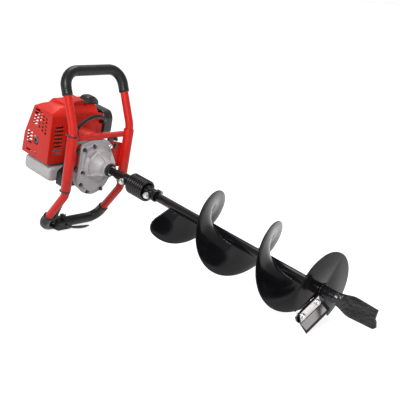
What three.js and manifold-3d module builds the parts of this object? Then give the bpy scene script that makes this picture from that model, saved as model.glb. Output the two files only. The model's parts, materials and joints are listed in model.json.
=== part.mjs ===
// Petrol auger with a loop handle: a two-stroke engine drives a Ø200 mm ice and earth bit through a
// two-stage gearbox and a shock spring. All sizes are millimetres.
// The machine is drawn in its own frame: X runs along the bit's axis towards the point, Z is the
// engine's cylinder direction, and the origin is where the bit's axis meets the plane of the side
// tubes. The last lines tip it nose down, as it lies on the ground, and centre it over the floor.
import * as THREE from "three";
import { mergeVertices } from "three/addons/utils/BufferGeometryUtils.js";
import Module from "manifold-3d";

const wasm = await Module();
wasm.setup();

// ---------------------------------------------------------------- driving dimensions
const gap = 0.3; // clearance between touching pieces
const frame = {
  sideY: 107, // side tube centrelines
  tubeR: 12.5,
  tubeBoreR: 10.5,
  sleeveR: 15.5,
  sleeveBottom: -75,
  sleeveTop: 100,
  kneeZ: 112,
  topBar: [-80, 267], // x, z
  kinkZ: -92,
  bottomBar: [-97, -234],
  upperGripR: 16,
  lowerGripR: 16.5,
  topCornerR: 47,
  bottomCornerR: 37,
};
const crank = { y: 0, z: 28, stroke: 34, x: -150 }; // crankshaft axis and the cylinder's station
const stage1 = { module: 1.3, pinion: 7, gear: 42 };
const stage2 = { module: 2.2, pinion: 7, gear: 35 };
const bit = {
  tubeR: 13,
  flightR: 100,
  pitch: 208,
  plate: 3.5,
  phaseX: 535, // station where the screw surface points towards -Y
  startAngle: -155,
  discX: 870,
  discFrom: -58,
  discTo: 200,
  discPlate: 4,
  knifeAngle: 209,
};
const spring = { r: 31, wire: 8, from: 163, to: 239 };

// ---------------------------------------------------------------- materials
const material = (color, roughness, metalness = 0) =>
  new THREE.MeshStandardMaterial({ color, roughness, metalness });
const red = material(0xd8281e, 0.35);
const blackPaint = material(0x1c1c20, 0.35);
const blackPlastic = material(0x1e1e20, 0.55);
const foam = material(0x222224, 0.8);
const castAluminium = material(0xb4b5b8, 0.45, 0.8);
const steel = material(0xc8c4c2, 0.28, 1);
const darkSteel = material(0x55565a, 0.4, 1);
const tankPlastic = material(0xdcdcda, 0.45);
const rubber = material(0x161618, 0.75);

// ---------------------------------------------------------------- solids
// Every piece becomes one closed body with outward faces and shared vertices.
function closed(geometry) {
  const bare = geometry.index ? geometry.toNonIndexed() : geometry.clone();
  bare.deleteAttribute("normal");
  bare.deleteAttribute("uv");
  const merged = mergeVertices(bare, 1e-4);
  const p = merged.attributes.position;
  const index = merged.index.array;
  const kept = [];
  let volume = 0;
  const a = new THREE.Vector3();
  const b = new THREE.Vector3();
  const c = new THREE.Vector3();
  for (let i = 0; i < index.length; i += 3) {
    const [i0, i1, i2] = [index[i], index[i + 1], index[i + 2]];
    if (i0 === i1 || i1 === i2 || i0 === i2) continue;
    a.fromBufferAttribute(p, i0);
    b.fromBufferAttribute(p, i1);
    c.fromBufferAttribute(p, i2);
    volume += a.dot(b.cross(c));
    kept.push(i0, i1, i2);
  }
  if (volume < 0) {
    kept.reverse();
  }
  const result = new THREE.BufferGeometry();
  result.setAttribute("position", p);
  result.setIndex(kept);
  return result;
}

function toManifold(geometry) {
  const g = closed(geometry);
  const mesh = new wasm.Mesh({
    numProp: 3,
    vertProperties: new Float32Array(g.attributes.position.array),
    triVerts: new Uint32Array(g.index.array),
  });
  return new wasm.Manifold(mesh);
}

function fromManifold(solid) {
  const mesh = solid.getMesh();
  const g = new THREE.BufferGeometry();
  g.setAttribute("position", new THREE.BufferAttribute(new Float32Array(mesh.vertProperties), 3));
  g.setIndex([...mesh.triVerts]);
  return g;
}

function cut(base, ...tools) {
  return fromManifold(tools.reduce((solid, tool) => solid.subtract(toManifold(tool)), toManifold(base)));
}

function join(...parts) {
  return fromManifold(parts.slice(1).reduce((solid, p) => solid.add(toManifold(p)), toManifold(parts[0])));
}

// A profile of [along, radius] pairs turned about the X axis through (y, z).
function turned(profile, segments = 24, y = 0, z = 0) {
  const points = profile.map(([x, r]) => new THREE.Vector2(r, x));
  const g = new THREE.LatheGeometry(points, segments);
  return closed(g.rotateZ(-Math.PI / 2).translate(0, y, z));
}

const rodX = (r, x0, x1, segments = 20, y = 0, z = 0) =>
  turned([[x0, 0], [x0, r], [x1, r], [x1, 0]], segments, y, z);
const ringX = (rOut, rIn, x0, x1, segments = 24, y = 0, z = 0) =>
  turned([[x0, rIn], [x0, rOut], [x1, rOut], [x1, rIn], [x0, rIn]], segments, y, z);

// A round bar between two points.
function rodBetween(from, to, r, segments = 16) {
  const a = new THREE.Vector3(...from);
  const b = new THREE.Vector3(...to);
  const along = b.clone().sub(a);
  const g = new THREE.CylinderGeometry(r, r, along.length(), segments);
  const turn = new THREE.Quaternion().setFromUnitVectors(new THREE.Vector3(0, 1, 0), along.clone().normalize());
  return closed(g.applyQuaternion(turn).translate(...a.add(b).multiplyScalar(0.5)));
}

function box(x0, x1, y0, y1, z0, z1) {
  const g = new THREE.BoxGeometry(x1 - x0, y1 - y0, z1 - z0);
  return closed(g.translate((x0 + x1) / 2, (y0 + y1) / 2, (z0 + z1) / 2));
}

// An outline whose corners are rounded; points run around it, radius is one number or one per corner.
function outline(points, radius) {
  const shape = new THREE.Shape();
  points.forEach((point, i) => {
    const here = new THREE.Vector2(...point);
    const before = new THREE.Vector2(...points[(i + points.length - 1) % points.length]).sub(here);
    const after = new THREE.Vector2(...points[(i + 1) % points.length]).sub(here);
    const wanted = Array.isArray(radius) ? radius[i] : radius;
    const r = Math.min(wanted, 0.45 * before.length(), 0.45 * after.length());
    const enter = here.clone().add(before.setLength(r));
    const leave = here.clone().add(after.setLength(r));
    if (i === 0) {
      shape.moveTo(enter.x, enter.y);
    } else {
      shape.lineTo(enter.x, enter.y);
    }
    if (r > 0) {
      shape.quadraticCurveTo(here.x, here.y, leave.x, leave.y);
    }
  });
  shape.closePath();
  return shape;
}

// Extrusions of an outline: across X (outline in Y, Z), across Y (outline in X, Z), across Z (X, Y).
function slab(shape, from, to, axis = "x", curveSegments = 4) {
  const g = new THREE.ExtrudeGeometry(shape, { depth: to - from, bevelEnabled: false, curveSegments });
  const basis = new THREE.Matrix4();
  if (axis === "x") {
    basis.set(0, 0, 1, from, 1, 0, 0, 0, 0, 1, 0, 0, 0, 0, 0, 1);
  } else if (axis === "y") {
    basis.set(1, 0, 0, 0, 0, 0, -1, to, 0, 1, 0, 0, 0, 0, 0, 1);
  } else {
    basis.set(1, 0, 0, 0, 0, 1, 0, 0, 0, 0, 1, from, 0, 0, 0, 1);
  }
  return closed(g.applyMatrix4(basis));
}

// A route of straight lines joined by arcs. Its stations lie only at the ends and along the arcs.
class BentRoute extends THREE.Curve {
  constructor(corners, radii, perBend = 4) {
    super();
    const points = corners.map((corner) => new THREE.Vector3(...corner));
    this.stations = [points[0]];
    for (let i = 1; i < points.length - 1; i += 1) {
      const back = points[i - 1].clone().sub(points[i]).normalize();
      const ahead = points[i + 1].clone().sub(points[i]).normalize();
      const half = back.angleTo(ahead) / 2;
      const toCentre = back.clone().add(ahead).normalize();
      const centre = points[i].clone().addScaledVector(toCentre, radii[i - 1] / Math.sin(half));
      const start = points[i].clone().addScaledVector(back, radii[i - 1] / Math.tan(half)).sub(centre);
      const axis = start.clone().cross(toCentre.clone().negate()).normalize();
      const sweep = Math.PI - 2 * half;
      for (let k = 0; k <= perBend; k += 1) {
        const arm = start.clone().applyAxisAngle(axis, (sweep * k) / perBend);
        this.stations.push(centre.clone().add(arm));
      }
    }
    this.stations.push(points[points.length - 1]);
    this.steps = this.stations.length - 1;
  }

  getUtoTmapping(u) {
    return u;
  }

  getPoint(t, target = new THREE.Vector3()) {
    const place = Math.min(t * this.steps, this.steps);
    const i = Math.min(Math.floor(place + 1e-9), this.steps - 1);
    return target.lerpVectors(this.stations[i], this.stations[i + 1], place - i);
  }

  getTangent(t, target = new THREE.Vector3()) {
    const i = Math.round(t * this.steps);
    const before = this.stations[Math.max(i - 1, 0)];
    const here = this.stations[i];
    const after = this.stations[Math.min(i + 1, this.steps)];
    const arriving = here.clone().sub(before).normalize();
    const leaving = after.clone().sub(here).normalize();
    return target.copy(arriving.add(leaving)).normalize();
  }
}

function circle(r, segments) {
  const points = [];
  for (let i = 0; i < segments; i += 1) {
    const angle = (2 * Math.PI * i) / segments;
    points.push(new THREE.Vector2(r * Math.cos(angle), r * Math.sin(angle)));
  }
  return points;
}

// A hole's outline: its flats, not its corners, are r from the centre.
const boreCircle = (r, segments) => circle(r / Math.cos(Math.PI / segments), segments).reverse();

// A tube along a route: solid when rIn is 0.
function tube(route, rOut, rIn = 0, sides = 14) {
  const shape = new THREE.Shape(circle(rOut, sides));
  if (rIn > 0) {
    shape.holes.push(new THREE.Path(boreCircle(rIn, sides)));
  }
  return closed(new THREE.ExtrudeGeometry(shape, { steps: route.steps, extrudePath: route }));
}

// A toothed wheel about X with one tooth pointing along `angle` (degrees from +Y towards +Z).
// Teeth are a little thinner than the space they run in, so that a pair turns freely.
function gearWheel(module, teeth, x0, x1, angle, y, z) {
  const pitchR = (module * teeth) / 2;
  const rootR = pitchR - 1.15 * module;
  const tipR = pitchR + 0.75 * module;
  const step = (2 * Math.PI) / teeth;
  const points = [];
  for (let i = 0; i < teeth; i += 1) {
    const centre = THREE.MathUtils.degToRad(angle) + i * step;
    const corners = [[rootR, -0.27], [tipR, -0.09], [tipR, 0.09], [rootR, 0.27]];
    for (const [r, part] of corners) {
      const a = centre + part * step;
      points.push(new THREE.Vector2(y + r * Math.cos(a), z + r * Math.sin(a)));
    }
  }
  return slab(new THREE.Shape(points), x0, x1);
}

// ---------------------------------------------------------------- handle frame
const handles = [];
const add = (list, name, geometry, look) => {
  const mesh = new THREE.Mesh(geometry, look);
  mesh.name = name;
  list.push(mesh);
  return mesh;
};

const [topX, topZ] = frame.topBar;
const [bottomX, bottomZ] = frame.bottomBar;
const side = frame.sideY;
const insertion = 45; // how far each handle tube reaches into its sleeve
const upperRoute = new BentRoute(
  [
    [0, side, frame.sleeveTop - insertion],
    [0, side, frame.kneeZ],
    [topX, side, topZ],
    [topX, -side, topZ],
    [0, -side, frame.kneeZ],
    [0, -side, frame.sleeveTop - insertion],
  ],
  [60, frame.topCornerR, frame.topCornerR, 60],
);
const lowerRoute = new BentRoute(
  [
    [0, side, frame.sleeveBottom + insertion],
    [0, side, frame.kinkZ],
    [bottomX, side, bottomZ],
    [bottomX, -side, bottomZ],
    [0, -side, frame.kinkZ],
    [0, -side, frame.sleeveBottom + insertion],
  ],
  [40, frame.bottomCornerR, frame.bottomCornerR, 40],
);
add(handles, "upper_handle", tube(upperRoute, frame.tubeR, frame.tubeBoreR), red);
add(handles, "lower_handle", tube(lowerRoute, frame.tubeR, frame.tubeBoreR), red);

// A grip covers the bar, its corners and a short stretch of each leg, from height startZ.
function gripRoute([barX, barZ], jointZ, cornerR, startZ) {
  const part = (startZ - jointZ) / (barZ - jointZ);
  return new BentRoute(
    [
      [barX * part, side, startZ],
      [barX, side, barZ],
      [barX, -side, barZ],
      [barX * part, -side, startZ],
    ],
    [cornerR, cornerR],
  );
}
const upperGrip = gripRoute(frame.topBar, frame.kneeZ, frame.topCornerR, 203);
const lowerGrip = gripRoute(frame.bottomBar, frame.kinkZ, frame.bottomCornerR, -184);
add(handles, "upper_grip", tube(upperGrip, frame.upperGripR, frame.tubeR + gap), foam);
add(handles, "lower_grip", tube(lowerGrip, frame.lowerGripR, frame.tubeR + gap), foam);

function sleeve(y) {
  const shape = new THREE.Shape(circle(frame.sleeveR, 24));
  shape.holes.push(new THREE.Path(boreCircle(frame.tubeR + gap, 20)));
  return slab(shape, frame.sleeveBottom, frame.sleeveTop, "z").translate(0, y, 0);
}
add(handles, "left_sleeve", sleeve(-side), red);
add(handles, "right_sleeve", sleeve(side), red);

const sleeveSpace = (y) => rodBetween([0, y, -120], [0, y, 140], frame.sleeveR + gap, 24);
const crossbarTop = 91;
const crossbarHeight = 14;
const angleProfile = new THREE.Shape([
  new THREE.Vector2(-14, crossbarTop),
  new THREE.Vector2(-14, crossbarTop - 3),
  new THREE.Vector2(-3, crossbarTop - 3),
  new THREE.Vector2(-3, crossbarTop - crossbarHeight),
  new THREE.Vector2(0, crossbarTop - crossbarHeight),
  new THREE.Vector2(0, crossbarTop),
]);
const crossbar = slab(angleProfile, -side, side, "y");
add(handles, "crossbar", cut(crossbar, sleeveSpace(-side), sleeveSpace(side)), red);

// Bracket plates weld to the sleeves and sit between the two gearbox castings.
const bracketX = [-12.3, -8.3];
const bracketInner = { left: -62, right: 44 };
const bracket = (inner) => {
  const sign = Math.sign(inner);
  const corners = [[inner, -24], [sign * side, -24], [sign * side, 50], [inner, 66]];
  const plate = slab(outline(corners, 6), ...bracketX);
  return cut(plate, sleeveSpace(sign * side));
};
add(handles, "left_bracket", bracket(bracketInner.left), red);
add(handles, "right_bracket", bracket(bracketInner.right), red);

// ---------------------------------------------------------------- gearbox
const gearbox = [];
const caseCorners = [
  [-70, 66], [-28, 75.5], [26, 73], [44, 58], [54, -10], [54, -58], [30, -90], [-6, -103], [-48, -90], [-70, -54],
];
const caseShape = (shrink = 0) => {
  const middle = [-6, -12];
  const inward = (v, c) => v - Math.sign(v - c) * shrink;
  return outline(caseCorners.map(([y, z]) => [inward(y, middle[0]), inward(z, middle[1])]), 14);
};
const r1 = (stage1.module * (stage1.pinion + stage1.gear)) / 2;
const r2 = (stage2.module * (stage2.pinion + stage2.gear)) / 2;
// The countershaft's centre is where the two centre distances meet, on the -Y side.
const counterZ = (r2 * r2 - r1 * r1 + crank.z * crank.z) / (2 * crank.z);
const counterY = -Math.sqrt(r2 * r2 - counterZ * counterZ);
const outputGearX = [-4, 10];
const counterGearX = [-30, -22];

const frontFlange = slab(caseShape(), -8, 2);
const frontCone = turned(
  [[1, 0], [1, 53], [10, 52], [17, 49], [46, 25], [60, 23], [60, 0]],
  30,
);
const counterBoss = rodX(15, 1, 17, 24, counterY, counterZ);
const coneRibs = [12, 72, 132, 192, 252, 312].map((angle) => {
  const rib = new THREE.Shape([
    new THREE.Vector2(1, 50),
    new THREE.Vector2(10, 56),
    new THREE.Vector2(56, 27),
    new THREE.Vector2(58, 20),
    new THREE.Vector2(3, 20),
  ]);
  const turn = new THREE.Matrix4().makeRotationX(THREE.MathUtils.degToRad(angle));
  return slab(rib, -2.5, 2.5, "y").applyMatrix4(turn);
});
const frontCavity = turned([[-9, 0], [-9, 42.5], [13, 42.5], [36, 20], [42, 20], [42, 17.5], [50, 17.5], [50, 13.5], [61, 13.5], [61, 0]], 24);
const frontCase = cut(
  join(frontFlange, frontCone, counterBoss, ...coneRibs),
  frontCavity,
  rodX(11.5, -9, 13.5, 24, counterY, counterZ),
);
add(gearbox, "gearbox_front_case", frontCase, castAluminium);

const rearCase = cut(
  slab(caseShape(3), -34, -8.3),
  rodX(29.2, -31, -8, 28, counterY, counterZ),
  rodX(12, -31, -8, 20, crank.y, crank.z),
  rodX(8.5, -35, -30, 20, crank.y, crank.z),
  rodX(9 + gap, -30, -8, 24),
  rodX(6 + gap, -33, -30, 16, counterY, counterZ),
  box(bracketX[0] - gap, -8, -140, bracketInner.left + gap, -24 - gap, 67),
  box(bracketX[0] - gap, -8, bracketInner.right - gap, 140, -24 - gap, 67),
);
add(gearbox, "gearbox_rear_case", rearCase, castAluminium);
add(gearbox, "front_bearing", ringX(17.2, 10.3, 42.3, 49.7, 28), steel);
const sealProfile = [[60.3, 12.3], [60.3, 20], [64, 20], [67, 17], [67, 12.3], [60.3, 12.3]];
add(gearbox, "output_seal", turned(sealProfile, 32), rubber);

// Each pair of wheels has a tooth of the larger one in a space of the smaller one.
const toCounter = THREE.MathUtils.radToDeg(Math.atan2(counterZ, counterY));
const inputToCounter = THREE.MathUtils.radToDeg(Math.atan2(counterZ - crank.z, counterY - crank.y));
const halfTooth = (teeth) => 180 / teeth;
const outputGear = cut(
  gearWheel(stage2.module, stage2.gear, ...outputGearX, toCounter, 0, 0),
  rodX(10 + gap, -9, 14, 24),
);
const drive = [];
add(drive, "output_gear", outputGear, darkSteel);
const shaftProfile = [
  [-29, 0], [-29, 9], [-7, 9], [-7, 10], [50, 10], [50, 12], [92, 12], [92, 10], [118, 10], [118, 0],
];
add(drive, "output_shaft", turned(shaftProfile, 24), blackPaint);

const counter = [];
const counterCluster = join(
  gearWheel(stage2.module, stage2.pinion, -6, 12, toCounter + 180 + halfTooth(stage2.pinion), counterY, counterZ),
  rodX(6, -32.5, -5, 16, counterY, counterZ),
  gearWheel(stage1.module, stage1.gear, ...counterGearX, inputToCounter + 180, counterY, counterZ),
);
add(counter, "counter_gears", counterCluster, darkSteel);

const input = [];
const drumProfile = [[-42, 0], [-42, 39], [-66, 39], [-66, 36.5], [-45, 36.5], [-45, 0]];
const clutchDrum = join(
  gearWheel(stage1.module, stage1.pinion, -30.9, -21, inputToCounter + halfTooth(stage1.pinion), crank.y, crank.z),
  rodX(5, -44, -30.4, 16, crank.y, crank.z),
  turned(drumProfile, 24, crank.y, crank.z),
);
add(input, "clutch_drum", clutchDrum, steel);

// ---------------------------------------------------------------- engine core
const engine = [];
const bellR = 51;
const bell = [
  [-34.3, 9], [-34.3, 42], [-44, 45], [-70, bellR], [-96, bellR], [-96, bellR - 3], [-71, bellR - 3], [-46, 42],
  [-38, 40.5], [-38, 9], [-34.3, 9],
];
add(engine, "fan_housing", turned(bell, 24, crank.y, crank.z), castAluminium);

const crankTopZ = 76;
const webSpace = rodX(36, -172, -128, 24, crank.y, crank.z);
const crankcase = cut(
  join(
    rodX(48, -186, -96.3, 24, crank.y, crank.z),
    box(-182, -118, -30, 30, crank.z, crankTopZ),
    box(-176, -124, -38, 38, -39.7, 0),
  ),
  webSpace,
  rodX(10.3, -190, -90, 20, crank.y, crank.z),
  rodBetween([crank.x, 0, crank.z], [crank.x, 0, crankTopZ + 5], 23.5, 24),
);
add(engine, "crankcase", crankcase, castAluminium);

const crankParts = [];
const pinZ = crank.z + crank.stroke / 2;
// A web is a disc with two flats beside its pin, so that its heavy side balances the piston.
const web = (x0, x1) =>
  cut(
    rodX(34, x0, x1, 24, crank.y, crank.z),
    box(x0 - 1, x1 + 1, 17, 40, crank.z + 6, crank.z + 40),
    box(x0 - 1, x1 + 1, -40, -17, crank.z + 6, crank.z + 40),
  );
const frontHalf = join(
  web(-141, -131),
  rodX(10, -132, -68, 20, crank.y, crank.z),
  rodX(6, -69, -49, 16, crank.y, crank.z),
);
const rearHalf = join(web(-169, -159), rodX(10, -206, -168, 20, crank.y, crank.z));
add(crankParts, "crankshaft_front", frontHalf, darkSteel);
add(crankParts, "crankshaft_rear", rearHalf, darkSteel);

const fanBlades = [];
for (let i = 0; i < 10; i += 1) {
  const blade = box(-92, -76, 26, 46, -1.2, 1.2).applyMatrix4(new THREE.Matrix4().makeRotationX((i * Math.PI) / 5));
  fanBlades.push(blade.translate(0, crank.y, crank.z));
}
const shoePivot = { r: 25, angle: -52 }; // on the flywheel, from the middle of the shoe
const shoeTurns = [90, -90];
const shoePins = shoeTurns.map((turn) => {
  const a = THREE.MathUtils.degToRad(turn + shoePivot.angle);
  return rodX(2.8, -76, -46, 12, shoePivot.r * Math.cos(a) + crank.y, shoePivot.r * Math.sin(a) + crank.z);
});
const flywheel = cut(
  join(
    rodX(46, -78, -74, 28, crank.y, crank.z),
    rodX(30, -92, -72, 24, crank.y, crank.z),
    ...fanBlades,
    ...shoePins,
  ),
  rodX(10 + gap, -100, -60, 20, crank.y, crank.z),
);
add(crankParts, "flywheel", flywheel, castAluminium);

// Two clutch shoes face each other inside the drum, each hung on a pin at its trailing end.
function clutchShoe(turn) {
  const sweep = THREE.MathUtils.degToRad(66);
  const shape = new THREE.Shape();
  shape.absarc(0, 0, 34.5, -sweep, sweep, false);
  shape.absarc(0, 0, 14, sweep, -sweep, true);
  shape.closePath();
  const a = THREE.MathUtils.degToRad(shoePivot.angle);
  const pinHole = rodX(3.2, -70, -40, 12, shoePivot.r * Math.cos(a), shoePivot.r * Math.sin(a));
  return cut(slab(shape, -64, -48, "x", 8), pinHole)
    .applyMatrix4(new THREE.Matrix4().makeRotationX(THREE.MathUtils.degToRad(turn)))
    .translate(0, crank.y, crank.z);
}
const shoes = shoeTurns.map((turn, i) => {
  const list = [];
  add(list, `clutch_shoe_${i + 1}`, clutchShoe(turn), darkSteel);
  return list[0];
});

// ---------------------------------------------------------------- piston and cylinder
const pistonParts = [];
const pinHeight = pinZ + 68;
const upright = (profile, segments = 28) =>
  closed(new THREE.LatheGeometry(profile.map(([r, z]) => new THREE.Vector2(r, z)), segments).rotateX(Math.PI / 2))
    .translate(crank.x, 0, 0);
const pistonProfile = [
  [0, pinHeight + 14], [0, pinHeight + 21], [21.5, pinHeight + 20], [21.5, pinHeight - 14], [18.5, pinHeight - 14],
  [18.5, pinHeight + 14], [0, pinHeight + 14],
];
add(pistonParts, "piston", upright(pistonProfile), castAluminium);
const rodShape = new THREE.Shape();
rodShape.absarc(0, pinZ, 12, -Math.PI * 0.22, Math.PI * 1.22, true);
rodShape.absarc(0, pinHeight, 8.5, Math.PI * 1.22, -Math.PI * 0.22, true);
rodShape.closePath();
const connectingRod = join(
  slab(rodShape, crank.x - 6, crank.x + 6, "x", 8),
  rodX(5, crank.x - 8.5, crank.x + 8.5, 16, 0, pinZ),
  rodX(4.5, crank.x - 15, crank.x + 15, 16, 0, pinHeight),
);
add(pistonParts, "connecting_rod", connectingRod, darkSteel);

const cylinderTop = 143;
const finCount = 7;
const fins = [];
for (let i = 0; i < finCount; i += 1) {
  const z = 86 + i * 8.6;
  const fin = slab(outline([[-31, -40], [31, -40], [31, 40], [-31, 40]], 10), z, z + 2.6, "z", 2);
  fins.push(fin.translate(crank.x, 0, 0));
}
const cylinderCore = rodBetween([crank.x, 0, crankTopZ + gap], [crank.x, 0, cylinderTop], 29, 20);
const portBlocks = box(crank.x - 20, crank.x + 20, -44, 44, 88, 112);
const bore = rodBetween([crank.x, 0, crankTopZ - 5], [crank.x, 0, 136], 22, 22);
const sparkX = crank.x + 9; // the plug stands beside the cylinder's axis, towards the intake
const sparkY = 3;
const plugHole = rodBetween([sparkX, sparkY, 135], [sparkX, sparkY, 160], 7, 16);
const cylinder = cut(join(cylinderCore, portBlocks, ...fins), bore, plugHole);
add(engine, "cylinder", cylinder, castAluminium);
const plug = join(
  rodBetween([sparkX, sparkY, 137], [sparkX, sparkY, cylinderTop + 1], 6.6, 16),
  rodBetween([sparkX, sparkY, cylinderTop + gap], [sparkX, sparkY, 149], 9.5, 6),
  rodBetween([sparkX, sparkY, 148], [sparkX, sparkY, 154], 4.8, 12),
);
add(engine, "spark_plug", plug, steel);

// ---------------------------------------------------------------- covers
const covers = [];
const shroudY = [-49.7, 60];
const shroudProfile = [[-97, 60], [-97, 126], [-124, 150], [-192, 150], [-226, 118], [-226, 60]];
const shroudInner = [[-100, 50], [-100, 124.5], [-125, 147], [-190.5, 147], [-223, 116.5], [-223, 50]];
// A hood runs forward from the shroud's front wall, over the fan housing.
const hoodR = bellR + 1;
// A wing on the shroud's front wall screens the carburettor; the throttle cable passes through it.
const wingOutline = [[56, 52], [82, 52], [82, 114], [72, 124], [56, 124]];
const cableHole = { y: 73, z: 95.2, r: 7 };
const wing = cut(
  slab(outline(wingOutline, [0, 6, 5, 5, 0]), -100, -97),
  rodX(cableHole.r, -103, -94, 20, cableHole.y, cableHole.z),
);
const humpX = [-180, -120]; // a hump in the shroud's top makes room for the spark plug
const humpOutline = [[-40, 145], [-15, 159], [16.5, 161], [16.5, 145]];
const humpInside = [[-34, 144], [-14, 156.3], [13.8, 158.4], [13.8, 144]];
const shroudShell = cut(
  join(
    slab(outline(shroudProfile, [0, 8, 8, 8, 8, 0]), ...shroudY, "y"),
    slab(outline(humpOutline, [0, 5, 4, 0]), ...humpX),
  ),
  slab(outline(shroudInner, [0, 6, 6, 6, 6, 0]), shroudY[0] + 2.7, shroudY[1] - 3, "y"),
  slab(outline(humpInside, [0, 4, 3, 0]), humpX[0] + 2.5, humpX[1] - 6),
  box(-196, -112, 50, 70, 50, 128),
  rodX(hoodR, -240, -90, 28, crank.y, crank.z),
);
const hood = cut(
  ringX(hoodR + 3, hoodR, -98.6, -37, 28, crank.y, crank.z),
  box(-110, -30, -70, 70, -40, 48),
);
add(covers, "engine_shroud", join(shroudShell, hood, wing), red);

// The cover over the plug lead is a low dome that stands beside the hump.
const capX = [-148, -122];
const capOutline = [[17, 140], [17, 152], [28, 168], [50, 168], [68, 152], [68, 140]];
const capInside = [[19.5, 130], [19.5, 151], [29.2, 165.5], [48.8, 165.5], [65.5, 151], [65.5, 130]];
const rectangle = ([a0, a1], [b0, b1], inset = 0) => [
  [a0 + inset, b0 + inset], [a1 - inset, b0 + inset], [a1 - inset, b1 - inset], [a0 + inset, b1 - inset],
];
const shroudSpace = slab(
  outline(
    [[-97 + gap, 60], [-97 + gap, 126.2], [-124 + gap, 150 + gap], [-192, 150 + gap], [-226, 118], [-226, 60]],
    [0, 8, 8, 8, 8, 0],
  ),
  -80,
  80,
  "y",
);
const plugCover = cut(
  slab(outline(capOutline, [0, 8, 14, 14, 8, 0]), ...capX),
  slab(outline(capInside, [0, 6, 12, 12, 6, 0]), capX[0] + 2.5, capX[1] - 2.5),
  shroudSpace,
);
add(covers, "plug_cover", plugCover, blackPlastic);

const coverY = -112;
const coverProfile = [[-99, -30], [-99, 126], [-122, 146], [-190, 140], [-230, 32], [-235, -30]];
const coverInner = [[-102, -27], [-102, 124.5], [-123, 143], [-188, 137], [-227, 31], [-232, -27]];
// The guard's top slopes down towards its outer face; `lower` shifts the slope for the inner wall.
const slope = [[-125, 125], [-50, 149], [-40, 170], [-125, 170]];
const topSlope = (lower) =>
  slab(new THREE.Shape(slope.map(([y, z]) => new THREE.Vector2(y, z - lower))), -245, -90);
const slotPitch = 11;
const slots = [];
const sideSlot = (x0, x1, z, height) => box(x0, x1, coverY - 5, coverY + 5, z, z + height);
for (let i = 0; i < 8; i += 1) {
  slots.push(box(-105, -90, -98, -64, -2 + 12 * i, 5 + 12 * i));
}
for (let row = 0; row < 5; row += 1) {
  const z = 73 + slotPitch * row;
  slots.push(sideSlot(-194 + 2 * row, -169 + 2 * row, z, 7));
  slots.push(sideSlot(-163 + row, -153 + row, z - 4, 7));
  slots.push(sideSlot(-146, -136, z - 11, 7));
  slots.push(sideSlot(-130, -120, z - 15, 7));
}
for (let row = 0; row < 4; row += 1) {
  slots.push(sideSlot(-217, -188, 6 + slotPitch * row, 6.5));
}
slots.push(sideSlot(-213, -188, -18, 6));
slots.push(sideSlot(-172, -152, -18, 6));
slots.push(sideSlot(-181, -155, 12, 26)); // the exhaust outlet's opening
slots.push(box(-222, -112, -104, -60, -35, -25)); // the guard is open underneath
for (let row = 0; row < 9; row += 1) {
  const z = 1 + slotPitch * row;
  slots.push(box(-245, -196, -105, -62, z, z + 7));
}
const mufflerCover = cut(
  slab(outline(coverProfile, [4, 8, 12, 12, 6, 4]), coverY, -50, "y"),
  topSlope(0),
  cut(slab(outline(coverInner, [2, 6, 10, 10, 5, 2]), coverY + 2.5, -40, "y"), topSlope(3)),
  ...slots,
);
add(covers, "muffler_cover", mufflerCover, red);
const muffler = join(
  slab(outline([[-182, 6], [-118, 6], [-118, 86], [-182, 86]], 14), -100, -52, "y"),
  rodBetween([-168, -99, 25], [-168, -113, 25], 9.5, 20),
);
add(engine, "muffler", muffler, darkSteel);

const starter = [];
const starterProfile = [[-226, 0], [-226, 40], [-218, 48], [-186.3, 49], [-186.3, 45.5], [-216, 45], [-222, 38], [-222, 0]];
const starterCover = cut(
  turned(starterProfile, 24, crank.y, crank.z),
  box(-214, -206, 40, 60, crank.z - 5, crank.z + 5),
);
add(covers, "starter_cover", starterCover, blackPlastic);
const reelProfile = [
  [-215, 11.3], [-215, 38], [-212.5, 38], [-212.5, 28], [-207.5, 28], [-207.5, 38], [-205, 38], [-205, 11.3], [-215, 11.3],
];
add(starter, "starter_reel", turned(reelProfile, 24, crank.y, crank.z), blackPlastic);
const starterPull = [];
const handleZ = crank.z;
const pullHandle = join(
  slab(outline([[-220, handleZ - 24], [-200, handleZ - 24], [-200, handleZ + 24], [-220, handleZ + 24]], 8), 55, 68, "y"),
  rodBetween([-210, 50, handleZ], [-210, 56, handleZ], 6, 16),
);
add(starterPull, "starter_handle", pullHandle, blackPlastic);

// ---------------------------------------------------------------- intake side
const carbY = [45, 82];
const primerY = 71; // the rubber bulb under the carburettor, pressed up into its seat
const carburettor = cut(
  join(
    box(-168, -132, carbY[0] + 15, carbY[1], 82, 118),
    box(-162, -138, carbY[0], carbY[0] + 16, 88, 112),
    box(-162, -138, carbY[0] + 16, carbY[1] - 1, 72, 84),
  ),
  rodBetween([crank.x, carbY[0] - 2, 100], [crank.x, carbY[1] + 2, 100], 10, 20),
  rodBetween([crank.x, primerY, 70], [crank.x, primerY, 76.5], 7.4, 20),
);
add(engine, "carburettor", carburettor, castAluminium);
const primer = [];
add(primer, "primer_bulb", rodBetween([crank.x, primerY, 71.5], [crank.x, primerY, 60], 7, 16), rubber);
const filterY = [carbY[1] + gap, 118];
const filterShape = [[-176, 54], [-98, 54], [-92, 61], [-92, 106], [-106, 126], [-176, 126]];
const filterInner = [[-173, 57], [-99, 57], [-95, 62], [-95, 105], [-107.5, 123], [-173, 123]];
const filterCover = cut(
  slab(outline(filterShape, [8, 6, 6, 10, 12, 10]), ...filterY, "y"),
  slab(outline(filterInner, [6, 4, 4, 8, 10, 8]), filterY[0] + 3, filterY[1] - 3, "y"),
  rodBetween([crank.x, 80, 100], [crank.x, 95, 100], 10, 20),
);
add(covers, "air_filter_cover", filterCover, blackPlastic);
const element = cut(
  box(-170, -108, 88, 112, 64, 116),
  rodBetween([crank.x, 85, 95], [crank.x, 106, 95], 12, 20),
);
add(engine, "air_filter_element", element, foam);
const choke = [];
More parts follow.
